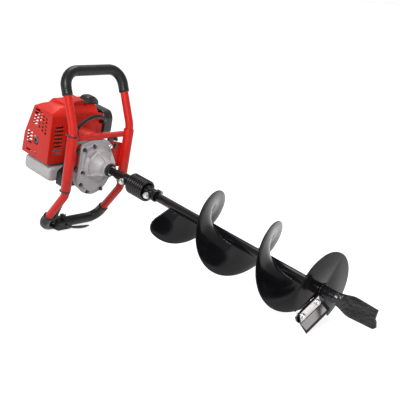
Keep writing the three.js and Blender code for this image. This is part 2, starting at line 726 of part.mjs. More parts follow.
const chokeLever = join(
  rodBetween([-131.5, 74, 104], [-122, 74, 104], 3.5, 12),
  box(-126, -122, 71, 77, 104, 124),
);
add(choke, "choke_lever", chokeLever, blackPlastic);

// ---------------------------------------------------------------- fuel
const tankX = [-238, -106];
const tankZ = [-92, -40];
const neck = { x: -160, z: -66, y: 94 };
const tank = cut(
  join(
    slab(outline(rectangle(tankX, tankZ), 20), -94, 94, "y"),
    rodBetween([neck.x, neck.y - 2, neck.z], [neck.x, neck.y + 8, neck.z], 15, 24),
  ),
  slab(outline(rectangle(tankX, tankZ, 3), 18), -91, 91, "y"),
  rodBetween([neck.x, neck.y - 6, neck.z], [neck.x, neck.y + 12, neck.z], 12, 20),
);
add(engine, "fuel_tank", tank, tankPlastic);
const fuel = [];
const capProfile = [[0, 106], [21, 106], [21, 97], [15.4, 97], [15.4, 103], [0, 103]];
const cap = closed(new THREE.LatheGeometry(capProfile.map(([r, y]) => new THREE.Vector2(r, y)), 28));
add(fuel, "fuel_cap", cap.translate(neck.x, 0, neck.z), blackPlastic);
const linePoints = [[-150, 52, -39.5], [-150, 52, -10], [-118, 66, 20], [-112, 70, 60], [-126, 70, 78], [-137.5, 70, 78]];
const fuelCurve = new THREE.CatmullRomCurve3(linePoints.map((point) => new THREE.Vector3(...point)));
fuelCurve.steps = 18;
add(engine, "fuel_line", tube(fuelCurve, 2.5, 0, 8), rubber);
const stand = cut(
  slab(outline([[-44, -10], [30, -10], [40, -50], [40, -99], [-70, -99], [-70, -56], [-46, -38]], 6), -100, -70),
  slab(outline([[-52, -50], [24, -50], [26, -86], [-58, -86]], 8), -104, -66),
  rodX(bellR + 2 * gap, -110, -60, 28, crank.y, crank.z),
);
add(engine, "engine_stand", stand, blackPlastic);

// ---------------------------------------------------------------- throttle control
const control = [];
const barSpace = rodBetween([bottomX, -95, bottomZ], [bottomX, 20, bottomZ], frame.lowerGripR + gap, 24);
const housingShape = outline(
  [[-120, -224], [-106, -213], [-80, -208], [-58, -213], [-54, -240], [-80, -244], [-112, -247]],
  5,
);
const leverZ = [-236, -226];
const leverPin = [-64, -34]; // x, y of the lever's upright pin
const leverSpace = box(-76, -40, -46, 20, leverZ[0] - 3, leverZ[1] + 7);
const lockPin = { x: -72, z: -214, r: 1.8, hubR: 4 };
const lockY = [-52, -44];
const lockSpace = box(lockPin.x - 8, lockPin.x + 8, lockY[0] - gap, lockY[1] + gap, -218.5, -190);
const lockPinSpace = rodBetween([lockPin.x, -57, lockPin.z], [lockPin.x, -39, lockPin.z], lockPin.r + gap, 12);
const switchSpace = box(-99, -87, -38 - gap, -30 + gap, -213, -190);
const gripSpace = tube(lowerGrip, frame.lowerGripR + 2 * gap);
const housing = cut(
  slab(housingShape, -70, -24, "y"),
  barSpace,
  gripSpace,
  leverSpace,
  rodBetween([...leverPin, leverZ[0] - 7], [...leverPin, leverZ[1] + 11], 2.5 + gap, 12),
  lockSpace,
  lockPinSpace,
  switchSpace,
);
add(control, "throttle_housing", housing, blackPlastic);
const trigger = [];
const leverPath = [[-70, -44], [-58, -44], [-46, -20], [-44, 20], [-47, 42], [-52, 42], [-56, 10], [-60, -14], [-70, -24]];
const lever = join(
  slab(outline(leverPath, 2), ...leverZ, "z"),
  rodBetween([...leverPin, leverZ[0] - 6], [...leverPin, leverZ[1] + 10], 2.5, 12),
);
add(trigger, "throttle_trigger", lever, blackPlastic);
const lock = [];
const lockLever = join(
  slab(outline([[-76, -213], [-68, -213], [-60, -188], [-68, -192]], 1.5), ...lockY, "y"),
  rodBetween([lockPin.x, lockY[0], lockPin.z], [lockPin.x, lockY[1], lockPin.z], lockPin.hubR, 14),
  rodBetween([lockPin.x, -56, lockPin.z], [lockPin.x, -40, lockPin.z], lockPin.r, 12),
);
add(lock, "trigger_lock", lockLever, blackPlastic);
const stopSwitch = [];
const slider = join(box(-98, -88, -40, -28, -208, -203.5), box(-95, -91, -38, -30, -212, -207));
add(stopSwitch, "stop_switch", slider, red);

// The throttle cable runs from the carburettor over the shroud's front and down the left tube.
const cableR = 5.8;
const cableRoute = [
  [-130, 70, 91], [-112, 73, 92], [-98, 73, 95], [-82, 71, 101], [-66, 61, 113], [-57, 40, 125], [-50, 12, 131],
  [-43, -20, 128], [-36, -48, 119], [-29, -70, 105], [-23, -82, 86], [-21, -86, 60], [-21, -86.5, 10], [-21, -86.5, -40],
  [-25, -86.5, -82], [-39, -85, -135], [-55, -84, -174], [-67, -83, -200], [-73, -80, -213], [-76, -77, -217],
];
const cableCurve = new THREE.CatmullRomCurve3(cableRoute.map((point) => new THREE.Vector3(...point)));
cableCurve.steps = 34;
add(control, "throttle_cable", tube(cableCurve, cableR, 0, 8), rubber);

// ---------------------------------------------------------------- shock coupling
const crossBolts = { upper: 146, lower: 256, bossR: 12, reach: 24 };
const boss = (x) => rodBetween([x, -crossBolts.reach, 0], [x, crossBolts.reach, 0], crossBolts.bossR, 20);
const boltSpace = (x) => rodBetween([x, -60, 0], [x, 60, 0], 5 + gap, 16);
const plugR = spring.r - spring.wire - 2.4;
const upperCoupling = cut(
  join(
    rodX(14, 92 + gap, 133, 24),
    rodX(17, 131, 162, 20),
    rodX(plugR, 160, 188, 24),
    boss(crossBolts.upper),
  ),
  rodX(10 + gap, 90, 118 + gap, 24),
  boltSpace(crossBolts.upper),
);
add(drive, "upper_coupling", upperCoupling, blackPaint);
const crossBolt = (x) =>
  join(
    rodBetween([x, -crossBolts.reach - 7, 0], [x, -crossBolts.reach - gap, 0], 8.5, 6),
    rodBetween([x, -crossBolts.reach - 1, 0], [x, crossBolts.reach + 1, 0], 5, 16),
    rodBetween([x, crossBolts.reach + gap, 0], [x, crossBolts.reach + 8, 0], 8.5, 6),
  );
add(drive, "upper_coupling_bolt", crossBolt(crossBolts.upper), steel);

const auger = [];
const springCurve = new THREE.Curve();
springCurve.turns = 8;
springCurve.steps = 72;
springCurve.getPoint = (t, target = new THREE.Vector3()) => {
  const angle = 2 * Math.PI * springCurve.turns * t;
  const r = spring.r - spring.wire / 2;
  const x = THREE.MathUtils.lerp(spring.from, spring.to, t);
  return target.set(x, r * Math.cos(angle), r * Math.sin(angle));
};
add(auger, "shock_spring", tube(springCurve, spring.wire / 2, 0, 7), blackPaint);
const tubeStart = 262.3;
const lowerCoupling = cut(
  join(rodX(plugR, 206, 242, 24), boss(crossBolts.lower), rodX(17, 240, 274, 20)),
  rodX(bit.tubeR + gap, tubeStart - gap, 300, 24),
  boltSpace(crossBolts.lower),
);
add(auger, "lower_coupling", lowerCoupling, blackPaint);
add(auger, "lower_coupling_bolt", crossBolt(crossBolts.lower), steel);

// ---------------------------------------------------------------- bit
const hubR = 15;
const hubX = [bit.discX + 4, 924];
add(auger, "bit_tube", ringX(bit.tubeR, bit.tubeR - 2, tubeStart, hubX[0] - gap, 28), blackPaint);

// The screw surface: at angle a (degrees, from +Y towards +Z) the plate's middle is at station x.
const screwX = (a) => bit.phaseX + (bit.pitch * (a - 180)) / 360;
const screwEnd = 180 + ((bit.discX - bit.discPlate / 2 - bit.plate / 2 - gap - bit.phaseX) / bit.pitch) * 360;
function screwPlate() {
  const steps = 100;
  const inner = bit.tubeR + gap;
  const cornerR = 32;
  const positions = [];
  const index = [];
  for (let i = 0; i <= steps; i += 1) {
    const degrees = THREE.MathUtils.lerp(bit.startAngle, screwEnd, i / steps);
    const a = THREE.MathUtils.degToRad(degrees);
    const fromStart = THREE.MathUtils.degToRad(degrees - bit.startAngle) * bit.flightR;
    const lost = Math.max(0, cornerR - fromStart);
    const outer = bit.flightR - cornerR + Math.sqrt(cornerR * cornerR - lost * lost);
    const x = screwX(degrees);
    const half = bit.plate / 2;
    for (const [r, dx] of [[inner, -half], [outer, -half], [outer, half], [inner, half]]) {
      positions.push(x + dx, r * Math.cos(a), r * Math.sin(a));
    }
  }
  for (let i = 0; i < steps; i += 1) {
    for (let k = 0; k < 4; k += 1) {
      const a = 4 * i + k;
      const b = 4 * i + ((k + 1) % 4);
      index.push(a, b, b + 4, a, b + 4, a + 4);
    }
  }
  const last = 4 * steps;
  index.push(0, 2, 1, 0, 3, 2, last, last + 1, last + 2, last, last + 2, last + 3);
  const g = new THREE.BufferGeometry();
  g.setAttribute("position", new THREE.Float32BufferAttribute(positions, 3));
  g.setIndex(index);
  return closed(g);
}
add(auger, "flight", screwPlate(), blackPaint);

// A flat sector of a ring in the Y, Z plane.
function sector(rIn, rOut, from, to) {
  const [a0, a1] = [from, to].map(THREE.MathUtils.degToRad);
  const shape = new THREE.Shape();
  shape.absarc(0, 0, rOut, a0, a1, false);
  shape.absarc(0, 0, rIn, a1, a0, true);
  shape.closePath();
  return shape;
}
const discFace = bit.discX + bit.discPlate / 2;
const disc = slab(
  sector(bit.tubeR + gap, bit.flightR, bit.discFrom, bit.discTo),
  discFace - bit.discPlate,
  discFace,
  "x",
  18,
);
add(auger, "cutter_disc", disc, blackPaint);

// The knife lies along a radius; v is the cutting direction, square to it.
const turnKnife = new THREE.Matrix4().makeRotationX(THREE.MathUtils.degToRad(bit.knifeAngle));
const knifeBolts = [29, 82];
const holderShape = outline([[16.5, 5], [60, 5], [99, 5], [98, 20], [94, 30], [20, 30]], 2);
const knifeHole = (u) => rodX(4.3, 850, 900, 14, u, 12);
const holder = cut(
  slab(holderShape, discFace - bit.discPlate, discFace),
  rodX(hubR + gap, 860, 880, 28),
  slab(sector(5, 120, -30 - bit.knifeAngle, bit.discTo - bit.knifeAngle + 0.4), 860, 880, "x", 24),
  ...knifeBolts.map(knifeHole),
).applyMatrix4(turnKnife);
add(auger, "knife_holder", holder, blackPaint);

const knifeFace = discFace + gap;
const knifeProfile = new THREE.Shape([
  new THREE.Vector2(knifeFace, -6),
  new THREE.Vector2(knifeFace, 31),
  new THREE.Vector2(895, 50),
  new THREE.Vector2(893.5, 44),
  new THREE.Vector2(knifeFace + 5, 28),
  new THREE.Vector2(knifeFace + 5, -6),
]);
const knifeStock = closed(
  new THREE.ExtrudeGeometry(knifeProfile, { depth: 92, bevelEnabled: false })
    .applyMatrix4(new THREE.Matrix4().set(1, 0, 0, 0, 0, 0, 1, 6, 0, 1, 0, 0, 0, 0, 0, 1)),
);
const knife = cut(
  knifeStock,
  rodX(hubR + gap + 1, 860, 910, 28),
  slab(outline([[93, -10], [110, -10], [110, 60], [99, 60], [92, 30]], 0), 860, 910),
  ...knifeBolts.map(knifeHole),
).applyMatrix4(turnKnife);
add(auger, "knife", knife, steel);
// The point: a round hub and a flat spade with two prongs.
const spadeAngle = 77;
const spadeOutline = outline(
  [[905, -15], [921, -15.5], [954, -26], [1027, -21.5], [1033, -15], [1027, -1], [1023, 1], [1022, 24], [955, 26], [921, 15.5], [905, 15]],
  [0, 3, 3, 2, 2, 0, 0, 2, 3, 3, 0],
);
const spade = slab(spadeOutline, -4, 4, "y").applyMatrix4(
  new THREE.Matrix4().makeRotationX(THREE.MathUtils.degToRad(spadeAngle - 90)),
);
const point = cut(
  join(rodX(hubR, ...hubX, 28), spade),
  rodX(bit.tubeR - 2 - gap - 3, hubX[0] - 5, hubX[0] + 12, 20),
);
add(auger, "fishtail_point", point, blackPaint);

// ---------------------------------------------------------------- assembly
const machine = new THREE.Group();
const pieces = [
  ...handles, ...gearbox, ...drive, ...counter, ...input, ...engine, ...crankParts, ...shoes,
  ...pistonParts, ...covers, ...starter, ...starterPull, ...primer, ...choke, ...fuel, ...control, ...trigger,
  ...lock, ...stopSwitch, ...auger,
];
machine.add(...pieces);

// Nose-down tilt: the lower grip and the knife's outer corner touch the floor.
const gripBottom = [bottomX, bottomZ - frame.lowerGripR];
const knifeCorner = [895, -90.7];
machine.rotation.y = Math.atan2(knifeCorner[1] - gripBottom[1], knifeCorner[0] - gripBottom[0]);

// The origin is on the floor under the middle of the whole object.
const group = new THREE.Group();
group.add(machine);
group.updateMatrixWorld(true);
const extent = new THREE.Box3().setFromObject(group, true);
const middle = extent.getCenter(new THREE.Vector3());
machine.position.set(-middle.x, -middle.y, -extent.min.z);
group.updateMatrixWorld(true);

export default group;
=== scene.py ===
"""Looks for a petrol auger: engine, gearbox, red loop handle, shock spring and screw bit.

Shapes are drawn in the machine frame, in millimetres: X along the bit towards its point, Y towards the
air filter, Z along the cylinder. TO_ROW turns them into the row frame. The machine frame is read from the
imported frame's joints. Each section draws one assembly, and the calls at the end build the whole.
"""

import json
import math
import random

import bmesh
import bpy
from mathutils import Matrix, Vector


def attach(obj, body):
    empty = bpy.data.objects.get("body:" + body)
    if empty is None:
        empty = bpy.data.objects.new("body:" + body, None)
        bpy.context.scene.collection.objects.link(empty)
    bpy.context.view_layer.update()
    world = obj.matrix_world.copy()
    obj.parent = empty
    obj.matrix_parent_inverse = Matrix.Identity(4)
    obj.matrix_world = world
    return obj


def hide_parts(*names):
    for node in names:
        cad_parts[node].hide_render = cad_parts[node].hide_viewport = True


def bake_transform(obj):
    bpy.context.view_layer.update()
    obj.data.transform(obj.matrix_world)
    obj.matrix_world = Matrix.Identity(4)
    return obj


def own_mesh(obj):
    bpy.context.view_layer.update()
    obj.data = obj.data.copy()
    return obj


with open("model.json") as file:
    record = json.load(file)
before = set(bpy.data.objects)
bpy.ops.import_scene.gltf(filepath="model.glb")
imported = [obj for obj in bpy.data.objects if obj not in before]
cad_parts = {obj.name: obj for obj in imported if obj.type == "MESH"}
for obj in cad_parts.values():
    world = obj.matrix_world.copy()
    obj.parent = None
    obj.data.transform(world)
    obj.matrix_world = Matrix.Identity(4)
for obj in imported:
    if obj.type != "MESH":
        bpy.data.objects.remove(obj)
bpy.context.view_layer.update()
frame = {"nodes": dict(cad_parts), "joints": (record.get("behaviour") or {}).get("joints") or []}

# ------------------------------------------------------------------ machine frame
MM = 0.001
CAST_MESH_KEPT = 0.35  # the share of a casting's faces that is kept after melting
joints = {joint["name"]: joint for joint in frame["joints"]}
ALONG = Vector(joints["output_spin"]["axis"]).normalized()
UP = Vector(joints["piston_stroke"]["axis"]).normalized()
SIDE = UP.cross(ALONG)
ORIGIN = Vector(joints["output_spin"]["pos_m"])
TO_ROW = Matrix(
    [[ALONG[i] * MM, SIDE[i] * MM, UP[i] * MM, ORIGIN[i]] for i in range(3)] + [[0, 0, 0, 1]]
)
TO_MACHINE = TO_ROW.inverted()


def place(x, y, z):
    """A machine-frame point in the row frame."""
    return TO_ROW @ Vector((x, y, z))


# ------------------------------------------------------------------ mesh tools
AXES = {"x": (1, 2, 0), "y": (0, 2, 1), "z": (0, 1, 2)}


def rounded(points, radius, steps=5):
    """A 2-D outline with its corners rounded; radius is one number or one per corner."""
    result = []
    count = len(points)
    for i, point in enumerate(points):
        here = Vector(point)
        before = Vector(points[i - 1]) - here
        after = Vector(points[(i + 1) % count]) - here
        wanted = radius[i] if isinstance(radius, (list, tuple)) else radius
        r = min(wanted, 0.45 * before.length, 0.45 * after.length)
        if r <= 0:
            result.append(here)
            continue
        enter = here + before.normalized() * r
        leave = here + after.normalized() * r
        for k in range(steps + 1):
            t = k / steps
            result.append(enter * (1 - t) ** 2 + here * 2 * t * (1 - t) + leave * t * t)
    return result


def rectangle(a, b):
    """A rectangle from its two ranges."""
    (a0, a1), (b0, b1) = a, b
    return [(a0, b0), (a1, b0), (a1, b1), (a0, b1)]


def on_circle(r, degrees, centre=(0, 0)):
    """A point on a circle; as y, z it goes round an axis parallel to X."""
    angle = math.radians(degrees)
    return centre[0] + r * math.cos(angle), centre[1] + r * math.sin(angle)


def disc_outline(r, count=32, centre=(0, 0)):
    return [on_circle(r, 360 * i / count, centre) for i in range(count)]


def loft(rings, caps=True, closed=False):
    """Faces between rings of points with the same count."""
    bm = bmesh.new()
    made = [[bm.verts.new(p) for p in ring] for ring in rings]
    count = len(made[0])
    pairs = list(zip(made, made[1:]))
    if closed:
        pairs.append((made[-1], made[0]))
    for low, high in pairs:
        for i in range(count):
            j = (i + 1) % count
            bm.faces.new((low[i], low[j], high[j], high[i]))
    if caps and not closed:
        bm.faces.new(reversed(made[0]))
        bm.faces.new(made[-1])
    bmesh.ops.recalc_face_normals(bm, faces=bm.faces)
    return bm


def extrude(outline, low, high, axis="x"):
    """A plate with that outline across the axis: (y, z) for x, (x, z) for y, (x, y) for z."""
    a, b, c = AXES[axis]
    rings = []
    for level in (low, high):
        ring = []
        for point in outline:
            v = [0, 0, 0]
            v[a], v[b], v[c] = point[0], point[1], level
            ring.append(v)
        rings.append(ring)
    return loft(rings)


def box(a, b, low, high, axis="x"):
    """A block from its two ranges across the axis and its two ends along it."""
    return extrude(rectangle(a, b), low, high, axis)


def rounded_box(a, b, radius, low, high, axis="x"):
    """The same block with the corners of its outline rounded."""
    return extrude(rounded(rectangle(a, b), radius), low, high, axis)


def lathe(profile, segments=48, centre=(0, 0), turn=None):
    """(x, radius) pairs turned about an axis parallel to X. turn is a matrix applied afterwards."""
    rings = []
    for x, r in profile:
        rings.append([(x, *point) for point in disc_outline(max(r, 1e-4), segments, centre)])
    ring_closed = profile[0] == profile[-1]
    bm = loft(rings[:-1], closed=True) if ring_closed else loft(rings)
    bmesh.ops.remove_doubles(bm, verts=bm.verts, dist=1e-3)
    if turn is not None:
        bm.transform(turn)
    return bm


def bar(start, end, r, sides=32, chamfer=0.0):
    """A round bar between two points, with chamfered ends."""
    a, b = Vector(start), Vector(end)
    length = (b - a).length
    turn = Matrix.Translation(a) @ Vector((1, 0, 0)).rotation_difference(b - a).to_matrix().to_4x4()
    if chamfer <= 0:
        return lathe([(0, 0), (0, r), (length, r), (length, 0)], sides, turn=turn)
    c = chamfer
    profile = [(0, 0), (0, r - c), (c, r), (length - c, r), (length, r - c), (length, 0)]
    return lathe(profile, sides, turn=turn)


def bent_route(corners, radii, steps=14):
    """Straight lines joined by arcs."""
    points = [Vector(c) for c in corners]
    route = [points[0]]
    for i in range(1, len(points) - 1):
        back = (points[i - 1] - points[i]).normalized()
        ahead = (points[i + 1] - points[i]).normalized()
        half = back.angle(ahead) / 2
        toward = (back + ahead).normalized()
        centre = points[i] + toward * (radii[i - 1] / math.sin(half))
        arm = points[i] + back * (radii[i - 1] / math.tan(half)) - centre
        axis = arm.cross(-toward)
        for k in range(steps + 1):
            turn = Matrix.Rotation((math.pi - 2 * half) * k / steps, 3, axis)
            route.append(centre + turn @ arm)
    route.append(points[-1])
    return route


def smooth_route(points, steps=6):
    """A Catmull-Rom curve through the points."""
    p = [Vector(q) for q in points]
    p = [2 * p[0] - p[1], *p, 2 * p[-1] - p[-2]]
    route = []
    for i in range(1, len(p) - 2):
        for k in range(steps):
            t = k / steps
            a = 2 * p[i]
            b = (p[i + 1] - p[i - 1]) * t
            c = (2 * p[i - 1] - 5 * p[i] + 4 * p[i + 1] - p[i + 2]) * t * t
            d = (3 * p[i] - p[i - 1] - 3 * p[i + 1] + p[i + 2]) * t**3
            route.append((a + b + c + d) / 2)
    route.append(p[-2])
    return route


def subdivide(route, longest):
    """The route with its long stretches split."""
    result = [route[0]]
    for a, b in zip(route, route[1:]):
        parts = max(1, math.ceil((b - a).length / longest))
        result += [a.lerp(b, k / parts) for k in range(1, parts + 1)]
    return result


def sweep(route, radius, sides=32):
    """A round section along a route; radius is a number or one per station."""
    rings = []
    tangents = []
    for i, point in enumerate(route):
        ahead = route[min(i + 1, len(route) - 1)] - point
        behind = point - route[max(i - 1, 0)]
        tangents.append((ahead.normalized() + behind.normalized()).normalized())
    normal = tangents[0].orthogonal().normalized()
    for i, point in enumerate(route):
        if i:
            normal = tangents[i - 1].rotation_difference(tangents[i]) @ normal
        across = tangents[i].cross(normal)
        r = radius[i] if isinstance(radius, (list, tuple)) else radius
        ring = []
        for k in range(sides):
            a = 2 * math.pi * k / sides
            ring.append(point + (normal * math.cos(a) + across * math.sin(a)) * r)
        rings.append(ring)
    return loft(rings)


def merge(*parts):
    """Several meshes as one."""
    whole = bmesh.new()
    for part in parts:
        mesh = bpy.data.meshes.new("part")
        part.to_mesh(mesh)
        part.free()
        whole.from_mesh(mesh)
        bpy.data.meshes.remove(mesh)
    return whole


def bevel(bm, width, segments=2, angle=30):
    """Rounds the edges whose faces turn by more than the angle."""
    limit = math.radians(angle)
    edges = [e for e in bm.edges if len(e.link_faces) == 2 and e.calc_face_angle(0) > limit]
    bmesh.ops.bevel(
        bm, geom=edges, offset=width, segments=segments, profile=0.6, affect="EDGES", clamp_overlap=True
    )
    return bm


def to_object(name, bm):
    """A mesh in the machine frame as an object in the row frame."""
    bm.transform(TO_ROW)
    bmesh.ops.recalc_face_normals(bm, faces=bm.faces)
    mesh = bpy.data.meshes.new(name)
    bm.to_mesh(mesh)
    bm.free()
    obj = bpy.data.objects.new(name, mesh)
    bpy.context.scene.collection.objects.link(obj)
    return obj


def apply_modifiers(obj):
    graph = bpy.context.evaluated_depsgraph_get()
    mesh = bpy.data.meshes.new_from_object(obj.evaluated_get(graph))
    obj.modifiers.clear()
    obj.data = mesh
    return obj


def combine(obj, operation, tools):
    """A boolean with meshes that are given in machine coordinates."""
    others = []
    for i, tool in enumerate(tools):
        other = to_object(f"tool_{i}", tool)
        others.append(other)
        modifier = obj.modifiers.new("combine", "BOOLEAN")
        modifier.operation = operation
        modifier.solver = "EXACT"
        modifier.object = other
    apply_modifiers(obj)
    for other in others:
        bpy.data.objects.remove(other)
    return obj


def carve(obj, *tools):
    return combine(obj, "DIFFERENCE", tools)


def unite(obj, *additions):
    return combine(obj, "UNION", additions)


def add_remesh(obj, voxel):
    remesh = obj.modifiers.new("join", "REMESH")
    remesh.mode = "VOXEL"
    remesh.voxel_size = voxel * MM


def add_smoothing(obj, rounds):
    soften = obj.modifiers.new("soften", "SMOOTH")
    soften.factor = 0.5
    soften.iterations = rounds


def add_bevel(obj, width, segments, degrees):
    """Rounds the edges that turn by more than the angle."""
    edge = obj.modifiers.new("round", "BEVEL")
    edge.width = width * MM
    edge.segments = segments
    edge.limit_method = "ANGLE"
    edge.angle_limit = math.radians(degrees)


def cast(name, parts, voxel=1.1, rounds=4, tools=()):
    """Overlapping solids melted into one casting with soft corners; tools are cut out first."""
    obj = to_object(name, merge(*parts))
    if tools:
        add_remesh(obj, voxel)
        apply_modifiers(obj)
        carve(obj, *tools)
    add_remesh(obj, voxel)
    add_smoothing(obj, rounds)
    thin = obj.modifiers.new("thin", "DECIMATE")
    thin.ratio = CAST_MESH_KEPT
    return apply_modifiers(obj)


def wear(obj, kind):
    """Gives an object the material of its kind and returns the record slot that goes with it."""
    material, slot = LOOKS[kind]
    obj.data.materials.clear()
    obj.data.materials.append(material)
    return slot


def dress(obj, kind, body, replaces=(), sharp=40):
    """Gives a piece its looks, its body and the nodes that it stands for.

    A body of None leaves the piece free, for one that blends between two bodies."""
    slot = wear(obj, kind)
    obj.data.shade_smooth()
    obj.data.set_sharp_from_angle(angle=math.radians(sharp))
    if body:
        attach(obj, body)
    if replaces:
        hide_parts(*replaces)
    return obj


def piece(name, bm, kind, body, replaces=(), sharp=40):
    return dress(to_object(name, bm), kind, body, replaces, sharp)


def soften_node(node, kind, width=0.5):
    """A CAD node whose shape is right: its edges are rounded and it gets a full material."""
    obj = frame["nodes"][node]
    wear(obj, kind)
    weld = obj.modifiers.new("weld", "WELD")
    weld.merge_threshold = 1e-5
    add_bevel(obj, width, 2, 35)


def spin(bm, degrees, centre=(0, 0)):
    """Turns a mesh about the X axis and moves that axis to the centre."""
    bm.transform(Matrix.Translation((0, *centre)) @ Matrix.Rotation(math.radians(degrees), 4, "X"))
    return bm


def aimed(bm, start, direction):
    """Moves a mesh drawn along +X from the origin to start, pointing along direction."""
    bm.transform(aim(start, direction))
    return bm


def aim(start, direction):
    """A matrix that puts a piece drawn along +X from the origin at start, pointing along direction."""
    turn = Vector((1, 0, 0)).rotation_difference(Vector(direction)).to_matrix().to_4x4()
    return Matrix.Translation(Vector(start)) @ turn


def hex_bolt(start, direction, across=13, head=6, washer=9, thread=4, length=0):
    """A hexagon head with its washer, standing on a face at start; length is the shank behind it."""
    outline = disc_outline(across / math.cos(math.pi / 6) / 2, 6)
    hexagon = bevel(extrude(outline, 1.5, 1.5 + head), 0.6, 2, 25)
    parts = [hexagon, lathe([(0, 0), (0, washer), (1.5, washer - 0.3), (1.5, 0)], 28)]
    parts.append(lathe([(1.5 + head - 0.2, 0), (1.5 + head - 0.2, across * 0.4), (2.1 + head, across * 0.33),
                        (2.1 + head, 0)], 24))
    if length:
        parts.append(bar((-length, 0, 0), (1, 0, 0), thread, 20))
    bolt = merge(*parts)
    return aimed(bolt, start, direction)


def socket_screw(start, direction, r=4.4, head=5.5):
    """A socket head cap screw standing on a face, its hexagon socket open."""
    outer = lathe([(0, 0), (0, r), (head - 0.7, r), (head, r - 0.7), (head, r * 0.55), (head - 2.6, r * 0.5),
                   (head - 2.6, 0)], 24)
    washer = lathe([(-0.4, 0), (-0.4, r + 1.6), (0.8, r + 1.5), (0.8, 0)], 24)
    screw = merge(outer, washer)
    return aimed(screw, start, direction)


def weld_bead(route, r=2.2, seed=1, spacing=2.4):
    """A weld: a rippled bead along a route."""
    dice = random.Random(seed)
    stations = subdivide(route, spacing)
    radii = []
    for i in range(len(stations)):
        ripple = 0.18 * r * (1 if i % 2 else -1)
        radii.append(r + ripple + dice.uniform(-0.1, 0.1) * r)
    radii[0] = radii[-1] = r * 0.4
    return sweep(stations, radii, 10)


# ------------------------------------------------------------------ material tools
def srgb(r, g, b):
    """A screen colour, 0 to 255, as the linear colour that shaders take."""
    linear = [((c / 255 + 0.055) / 1.055) ** 2.4 if c > 10 else c / 255 / 12.92 for c in (r, g, b)]
    return (*linear, 1)


